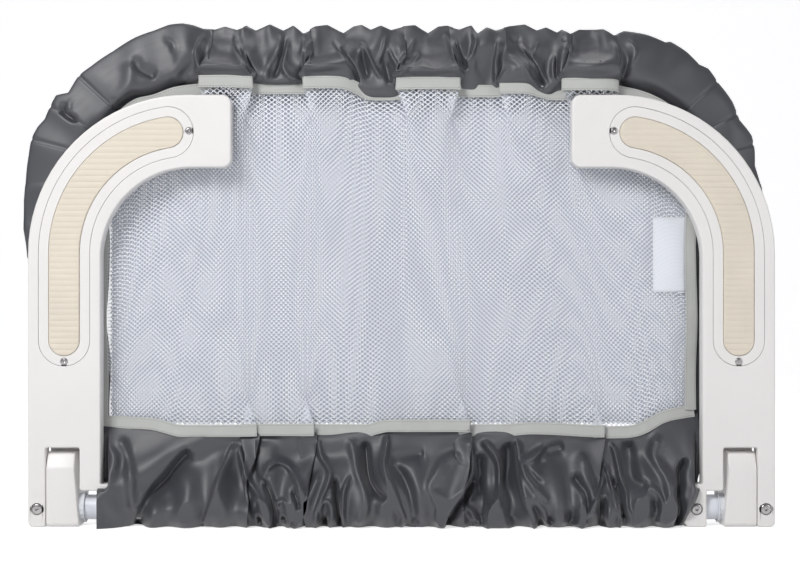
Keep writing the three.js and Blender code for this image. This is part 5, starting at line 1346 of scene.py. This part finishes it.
def rear_surface(t, s):
    """The net's rear layer: slow waves behind the tubes."""
    x = -262 * MM + 524 * MM * s
    z = 392 * MM + (88 * MM - 392 * MM) * t
    wave = 1.3 * np.sin(x / (21 * MM)) + 0.8 * np.sin(x / (12.5 * MM) + 1.5 + t)
    y = AXLE_Y + 14.5 * MM + (wave * MM) * np.minimum(1, 0.4 + 2 * np.minimum(t, 1 - t))
    return np.stack([x, y, z], -1)


def diamond_net(surface, width, sizes, hole, along):
    """A net of diamond holes: each cell is a ring of four faces between its outer corners and its hole's corners.
    hole is the hole's share of its cell, and along the share of the whole net that this piece covers."""
    across, down = 2 * int(width / sizes.net_cell), 2 * int(NET_HEIGHT / sizes.net_rise)
    i, j = np.meshgrid(np.arange(across + 1), np.arange(down + 1), indexing="ij")
    inside = (i > 0) & (i < across) & (j > 0) & (j < down) & ((i + j) % 2 == 0)
    inside &= (i > along[0] * across) & (i <= along[1] * across)
    middles = np.stack([i[inside], j[inside]], -1)[:, None]
    around = np.array([[1, 0], [0, 1], [-1, 0], [0, -1]])
    corners = middles + around
    used, index = np.unique(corners[..., 0] * (down + 1) + corners[..., 1], return_inverse=True)
    index = index.reshape(corners.shape[:2])
    outer = np.stack([used // (down + 1), used % (down + 1)], -1).astype(float)
    place_ = np.concatenate([outer, (middles + around * hole).reshape(-1, 2)]) / [across, down]
    start = len(outer) + 4 * np.arange(len(index))[:, None] + np.arange(4)
    faces = np.stack([index, np.roll(index, -1, 1), np.roll(start, -1, 1), start], -1).reshape(-1, 4)
    return surface(place_[:, 1], place_[:, 0]), faces, place_ * [width, NET_HEIGHT]


def directions(path, across):
    """Unit directions along a path, across it and up from it, with across made square to the path."""
    ahead = np.gradient(path, axis=0)
    ahead /= np.linalg.norm(ahead, axis=1)[:, None]
    across = across - (across * ahead).sum(1)[:, None] * ahead
    across /= np.linalg.norm(across, axis=1)[:, None]
    return ahead, across, np.cross(ahead, across)


def ribbon(path, across, width, thick, step):
    """A tape: a flat oval section carried along a path. across is the direction of its width at each place."""
    _, across, up = directions(path, across)
    angle = turns(24)
    wide = np.sign(np.cos(angle)) * np.abs(np.cos(angle)) ** 0.35 * width / 2
    high = np.sign(np.sin(angle)) * np.abs(np.sin(angle)) ** 0.8 * thick / 2
    points = path[:, None] + across[:, None] * wide[:, None] + up[:, None] * high[:, None]
    flat = np.stack(np.broadcast_arrays((np.arange(len(path)) * step)[:, None], wide), -1)
    return points, grid_faces(len(path), len(angle), True), flat


def stitches(path, across, shift, lift, pitch, half):
    """Stitches beside a path: each is a grain with two rings of six points and two tips. shift is how far they lie
    from the path along across, lift how far above it, and half is half their thickness."""
    fine = 0.5 * MM
    path = even(path, fine)
    across = np.broadcast_to(across, (len(across), 3))
    across = picked(np.linspace(0, 1, len(path)), np.linspace(0, 1, len(across)), across)
    ahead, across, up = directions(path, across)
    pick = np.arange(int(pitch / MM), len(path) - 3, max(1, round(pitch / fine)))
    centre = path[pick] + across[pick] * shift + up[pick] * lift
    turn = turns(6)
    ring = np.stack([np.full(6, 0.24 * pitch), 0.35 * MM * np.cos(turn), half * np.sin(turn)], 1)
    grain = np.concatenate([[[-0.4 * pitch, 0, 0]], ring * [-1, 1, 1], ring, [[0.4 * pitch, 0, 0]]])
    basis = np.stack([ahead[pick], across[pick], up[pick]], 1)
    points = centre[:, None] + np.einsum("gk,nkd->ngd", grain, basis)
    pairs, tip = [(a, (a + 1) % 6) for a in range(6)], len(grain) - 1
    shell = [[0, 1 + b, 1 + a] for a, b in pairs] + [[tip, 7 + a, 7 + b] for a, b in pairs]
    shell += [[1 + a, 1 + b, 7 + b, 7 + a] for a, b in pairs]
    faces = [[k + len(grain) * g for k in face] for g in range(len(pick)) for face in shell]
    flat = np.broadcast_to(grain[:, :2], (len(pick), len(grain), 2)) + (pick * fine)[:, None, None]
    return points, faces, flat


def label_surface():
    """The care label, just behind the front net: as deep as the net at each place."""
    z = np.linspace(*LABEL_Z[::-1], 24)
    x = np.linspace(*LABEL_X, 12)
    right_part = np.linspace(0.75, 1, 240)
    top, tall = 386 * MM, 286 * MM  # of the net beside the label
    rows = []
    for level in z:
        net = net_surface(np.full_like(right_part, (top - level) / tall), right_part)
        order = np.argsort(net[:, 0])
        rows.append(np.interp(x, net[order, 0], net[order, 1]))
    y = blurred(blurred(np.array(rows), 2).T, 1).T + 1.1 * MM
    return np.stack(np.broadcast_arrays(x[None], y, z[:, None]), -1)


# The two gathered pieces. loose and flare are their cut's; push, weight and bend are the simulation's; relief
# deepens their folds, calm is how far they are smoothed, and last and gain say how far down their front the creases
# go and how strong they are.
GATHERED = (
    dict(name="sleeve", nodes=("{}_top_sleeve", "top_centre_sleeve"), build=sleeve_surface, loose=1.08,
         flare=300 * MM, push=2.5, weight=0.2, bend=0.15, relief=1.0, last=0.5, calm=2, gain=0.65),
    dict(name="skirt", nodes=("{}_skirt", "bottom_centre_sleeve"), build=skirt_surface, loose=1.06,
         flare=350 * MM, push=2.5, weight=0.4, bend=0.6, relief=1.5, last=0.57, calm=5, gain=1.0),
)


class RAIL_OT_cover(bpy.types.Operator):
    """Builds the gathered sleeve and skirt, the two layers of net, the tapes and the label"""

    bl_idname = "rail.cover"
    bl_label = "Cover"

    def execute(self, context):
        sizes = context.scene.rail_cover
        for piece in GATHERED:
            self.gathered(sizes, **piece)
        self.tapes(sizes)
        self.sides(sizes)
        self.label()
        self.nets(sizes)
        return {"FINISHED"}

    def declare(self, thing, width, height, area=None):
        """Takes a piece and the size that it was cut to, and does nothing with them."""

    def gathered(self, sizes, name, nodes, build, loose, flare, push, weight, bend, relief, last, calm, gain):
        """One gathered piece as its left and right halves, which meet on the column nearest x = 0."""
        satin = finish_named("grey satin")
        surface, cut, held = build(sizes, loose, flare)
        half = middle_column(surface)
        cuts = [cut_size(cut[:, : half + 1]), cut_size(cut[:, half:])]
        cell = STEP
        surface = relaxed(surface, cut, held, bend, push, weight)
        surface = smoothed(finer(finer(deepened(surface, 12 * MM / STEP, relief))), calm)
        down = np.linspace(0, 1, len(surface))[:, None]
        front = soft_step(down, 0.05, 0.15) * (1 - soft_step(down, last, last + 0.05))
        surface = clear_of_arms(creased(surface, front, gain * sizes.creases))
        surface[..., 2] = np.maximum(surface[..., 2], 0.4 * MM)
        if name == "sleeve":
            surface, seams = gore_seams(within_outline(surface))
            self.gores(seams, sizes)
        cell = STEP / 4
        flat = flat_grid(*surface.shape[:2], cell)
        half = middle_column(surface)
        made = []
        for side, part in (("left", slice(0, half + 1)), ("right", slice(half, None))):
            points = surface[:, part]
            faces = grid_faces(*points.shape[:2])[:, ::-1]
            made.append(make_object(f"{side}_gathered_{name}", points, faces, satin, flat[:, part], sharp=0))
            stretch(made[-1], side)
        for thing, (side, _), size in zip(made, SIDES, cuts):
            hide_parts(*[node.format(side) for node in nodes])
            self.declare(thing, *size)

    def gores(self, seams, sizes):
        """Stitches beside the seams across the sleeve's corners."""
        thread = finish_named("satin stitching")
        for number, (side, path, normal) in enumerate(seams):
            across = np.cross(np.gradient(path, axis=0), normal)
            points, faces, flat = stitches(path, across, 0, 0.25 * MM, sizes.stitch, 0.35 * MM)
            name = f"{side}_gore_stitches_{number % len(GORES) + 1}"
            place(make_object(name, points, faces, thread, flat), f"{side}_side", "grey_satin")

    def sewn(self, name, path, across, sizes, margin):
        """A row of stitches along each edge of a tape, margin in from the edge."""
        thread = finish_named("stitching")
        rows = [stitches(path, across, shift, 0, sizes.stitch, 0.62 * MM) for shift in (-margin, margin)]
        points, faces = merged([row[:2] for row in rows])
        flat = np.concatenate([row[2].reshape(-1, 2) for row in rows])
        return make_object(f"{name}_stitches", points, faces, thread, flat, outward=True)

    def tapes(self, sizes):
        """The tapes along the top and the bottom of the net."""
        tape, step, up = finish_named("binding tape"), 1.0 * MM, np.array([[0, 0, 1.0]])
        finish_named("stitching")
        for name, path in (("top_tape", seam_line()[1]), ("bottom_tape", fold_table()[:, 3:])):
            path = even(path, step) + [0, -TAPE_FORWARD, 0]
            half = int(np.argmin(np.abs(blurred(path[:, :1], 4)[:, 0])))
            for side, part in (("left", path[: half + 1]), ("right", path[half:])):
                points, faces, flat = ribbon(part, up, sizes.tape_width, 0.9 * MM, step)
                thing = make_object(f"{side}_{name}", points, faces, tape, flat, sharp=0, outward=True)
                rows = self.sewn(f"{side}_{name}", part, up, sizes, sizes.tape_width / 2 - 1.5 * MM)
                for piece in (thing, rows):
                    stretch(piece, side)
                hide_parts(f"{side}_binding")
                self.declare(thing, len(part) * step, sizes.tape_width)

    def sides(self, sizes):
        """The tapes down the sides of the net, and the dark strip outside the right one."""
        tape, step, out = finish_named("binding tape"), 1.5 * MM, np.array([[1.0, 0, 0]])
        wide = sizes.tape_width * 0.93
        left, _, right = seam_line()
        for side, path, foot in (("left", left, 90 * MM), ("right", right, 101 * MM)):
            path = even(path[path[:, 2] > foot], step) + [0, -TAPE_FORWARD, 0]
            bands = [(f"{side}_side_tape", path, wide, 0.9 * MM, tape, "grey_tape")]
            if side == "right":
                strip = path[path[:, 2] < 262 * MM] + [4.6 * MM, 3.5 * MM, 0]
                strip[:, 1] += 0.7 * MM * np.sin(strip[:, 2] / (5 * MM))
                satin = finish_named("grey satin")
                bands.append(("right_side_strip", strip, 10.5 * MM, 0.8 * MM, satin, "grey_satin"))
            for name, line, width, thick, finish, slot in bands:
                points, faces, flat = ribbon(line, out, width, thick, step)
                thing = make_object(name, points, faces, finish, flat, sharp=0, outward=True)
                place(thing, f"{side}_side", slot)
                self.declare(thing, len(line) * step, width)
            rows = self.sewn(f"{side}_side_tape", path, out, sizes, wide / 2 - 1.3 * MM)
            place(rows, f"{side}_side", "grey_tape")

    def label(self):
        """The blank care label."""
        width, height = LABEL_X[1] - LABEL_X[0], LABEL_Z[1] - LABEL_Z[0]
        surface = label_surface()
        rows, columns = surface.shape[:2]
        flat = flat_grid(rows, columns, height / (rows - 1))
        faces = grid_faces(rows, columns)[:, ::-1]
        label = make_object("right_care_label", surface, faces, finish_named("label cloth"), flat)
        face_forward(label)
        solid = label.modifiers.new("thickness", "SOLIDIFY")
        solid.thickness = 0.3 * MM
        solid.offset = 0
        place(label, "right_side", "label_cloth", "care_label")

    def nets(self, sizes):
        """The front and rear layers of the net, each as a left and a right piece."""
        for name, node, surface, wide, finish, hole in (
            ("front_net", "net_panel", net_surface, 640 * MM, "white net", 0.77),
            # The rear layer is nearly closed and painted grey, so the front net's holes show painted shade.
            ("rear_net", "rear_net_panel", rear_surface, 560 * MM, "rear net", 0.3),
        ):
            for side, along in (("left", (-1, 0.5)), ("right", (0.5, 1))):
                points, faces, flat = diamond_net(surface, wide, sizes, hole, along)
                thing = make_object(f"{side}_{name}", points, faces, finish_named(finish), flat, sharp=0)
                face_forward(thing)
                stretch(thing, side)
                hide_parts(f"{side}_{node}", "centre_net_panel")
                self.declare(thing, wide / 2, NET_HEIGHT, area=(1 - hole**2) * wide / 2 * NET_HEIGHT)


# Stage


class RAIL_OT_stage(bpy.types.Operator):
    """Sets the floor, the backdrop, the lamps and the camera"""

    bl_idname = "rail.stage"
    bl_label = "Stage"

    def execute(self, context):
        scene = context.scene
        self.backdrop()
        scene.world = bpy.data.worlds.new("studio")
        scene.world.use_nodes = True
        sky = scene.world.node_tree.nodes["Background"].inputs
        sky["Color"].default_value = (0.93, 0.95, 1, 1)
        sky["Strength"].default_value = 0.22
        for name, where, size, power in (
            ("key", (-0.85, -1.45, 1.35), 0.6, 26),
            ("fill", (1.5, -1.4, 0.7), 0.9, 7.5),
            ("top", (0.1, 0.4, 1.6), 0.9, 7),
        ):
            self.lamp(scene, name, where, size, power)
        away, seen_width = 1.4, 0.704  # the camera's distance from the arms, and the width that it sees there
        camera = bpy.data.cameras.new("camera")
        camera.sensor_width = 36
        camera.lens = camera.sensor_width * away / seen_width
        camera.clip_end = 60
        thing = bpy.data.objects.new("camera", camera)
        thing.location = (-0.0013, ARM_FRONT - away, 0.216)
        thing.rotation_euler = (math.pi / 2, 0, 0)
        scene.collection.objects.link(thing)
        scene.camera = thing
        scene.view_settings.view_transform = "Standard"
        return {"FINISHED"}

    def backdrop(self):
        """A floor that curves up into a wall behind the rail, both of white paper."""
        radius, start, wall, reach = 0.9, 1.6, 5, 6
        width = np.linspace(-reach, reach, 3)
        turn = np.linspace(0, math.pi / 2, 17)
        along = np.concatenate([[-reach], start + radius * np.sin(turn), [start + radius]])
        up = np.concatenate([[0], radius * (1 - np.cos(turn)), [wall]])
        points = np.stack(np.broadcast_arrays(width[:, None], along[None], up[None]), -1)
        return make_object("floor", points, grid_faces(len(width), len(along)), self.paper(), sharp=0)

    def lamp(self, scene, name, where, size, power):
        """A square lamp that faces the rail."""
        light = bpy.data.lights.new(name, "AREA")
        light.shape = "SQUARE"
        light.size = size
        light.energy = power
        thing = bpy.data.objects.new(name, light)
        thing.location = where
        thing.rotation_euler = (Vector((0, 0, 0.22)) - Vector(where)).to_track_quat("-Z", "Y").to_euler()
        scene.collection.objects.link(thing)

    def paper(self):
        """White paper: a plain matt white that also glows for rays from the camera, so it keeps the shadow."""
        material, tree, shader = new_material("white paper")
        shader["Base Color"].default_value = (0.86, 0.86, 0.86, 1)
        shader["Roughness"].default_value = 0.9
        shader["Emission Color"].default_value = (1, 1, 1, 1)
        path = tree[0].new("ShaderNodeLightPath").outputs
        seen = maths(tree, "MAXIMUM", path["Is Camera Ray"], path["Is Glossy Ray"])
        feed(tree[1], maths(tree, "MULTIPLY", seen, 0.62), shader["Emission Strength"])
        return material


OPERATORS = (RAIL_OT_stage, RAIL_OT_arms, RAIL_OT_tubes, RAIL_OT_cover)
GROUPS = {"rail_arm": ArmSizes, "rail_cover": CoverSizes, "rail_finishes": Finishes}


class RAIL_PT_panel(bpy.types.Panel):
    """Lists the pieces of the guard rail and their sizes"""

    bl_label = "Guard rail"
    bl_idname = "RAIL_PT_panel"
    bl_space_type = "VIEW_3D"
    bl_region_type = "UI"
    bl_category = "Guard rail"

    def draw(self, context):
        for group in GROUPS:
            box = self.layout.box()
            owner = getattr(context.scene, group)
            for name in owner.__annotations__:
                box.prop(owner, name)
        for operator in OPERATORS:
            self.layout.operator(operator.bl_idname)


def register():
    for name, group in GROUPS.items():
        bpy.utils.register_class(group)
        setattr(bpy.types.Scene, name, PointerProperty(type=group))
    for kind in (*OPERATORS, RAIL_PT_panel):
        bpy.utils.register_class(kind)


def unregister():
    for kind in (RAIL_PT_panel, *reversed(OPERATORS)):
        bpy.utils.unregister_class(kind)
    for name, group in GROUPS.items():
        delattr(bpy.types.Scene, name)
        bpy.utils.unregister_class(group)


def main():
    register()
    for operator in OPERATORS:
        group, name = operator.bl_idname.split(".")
        getattr(getattr(bpy.ops, group), name)()


if __name__ == "__main__":
    main()
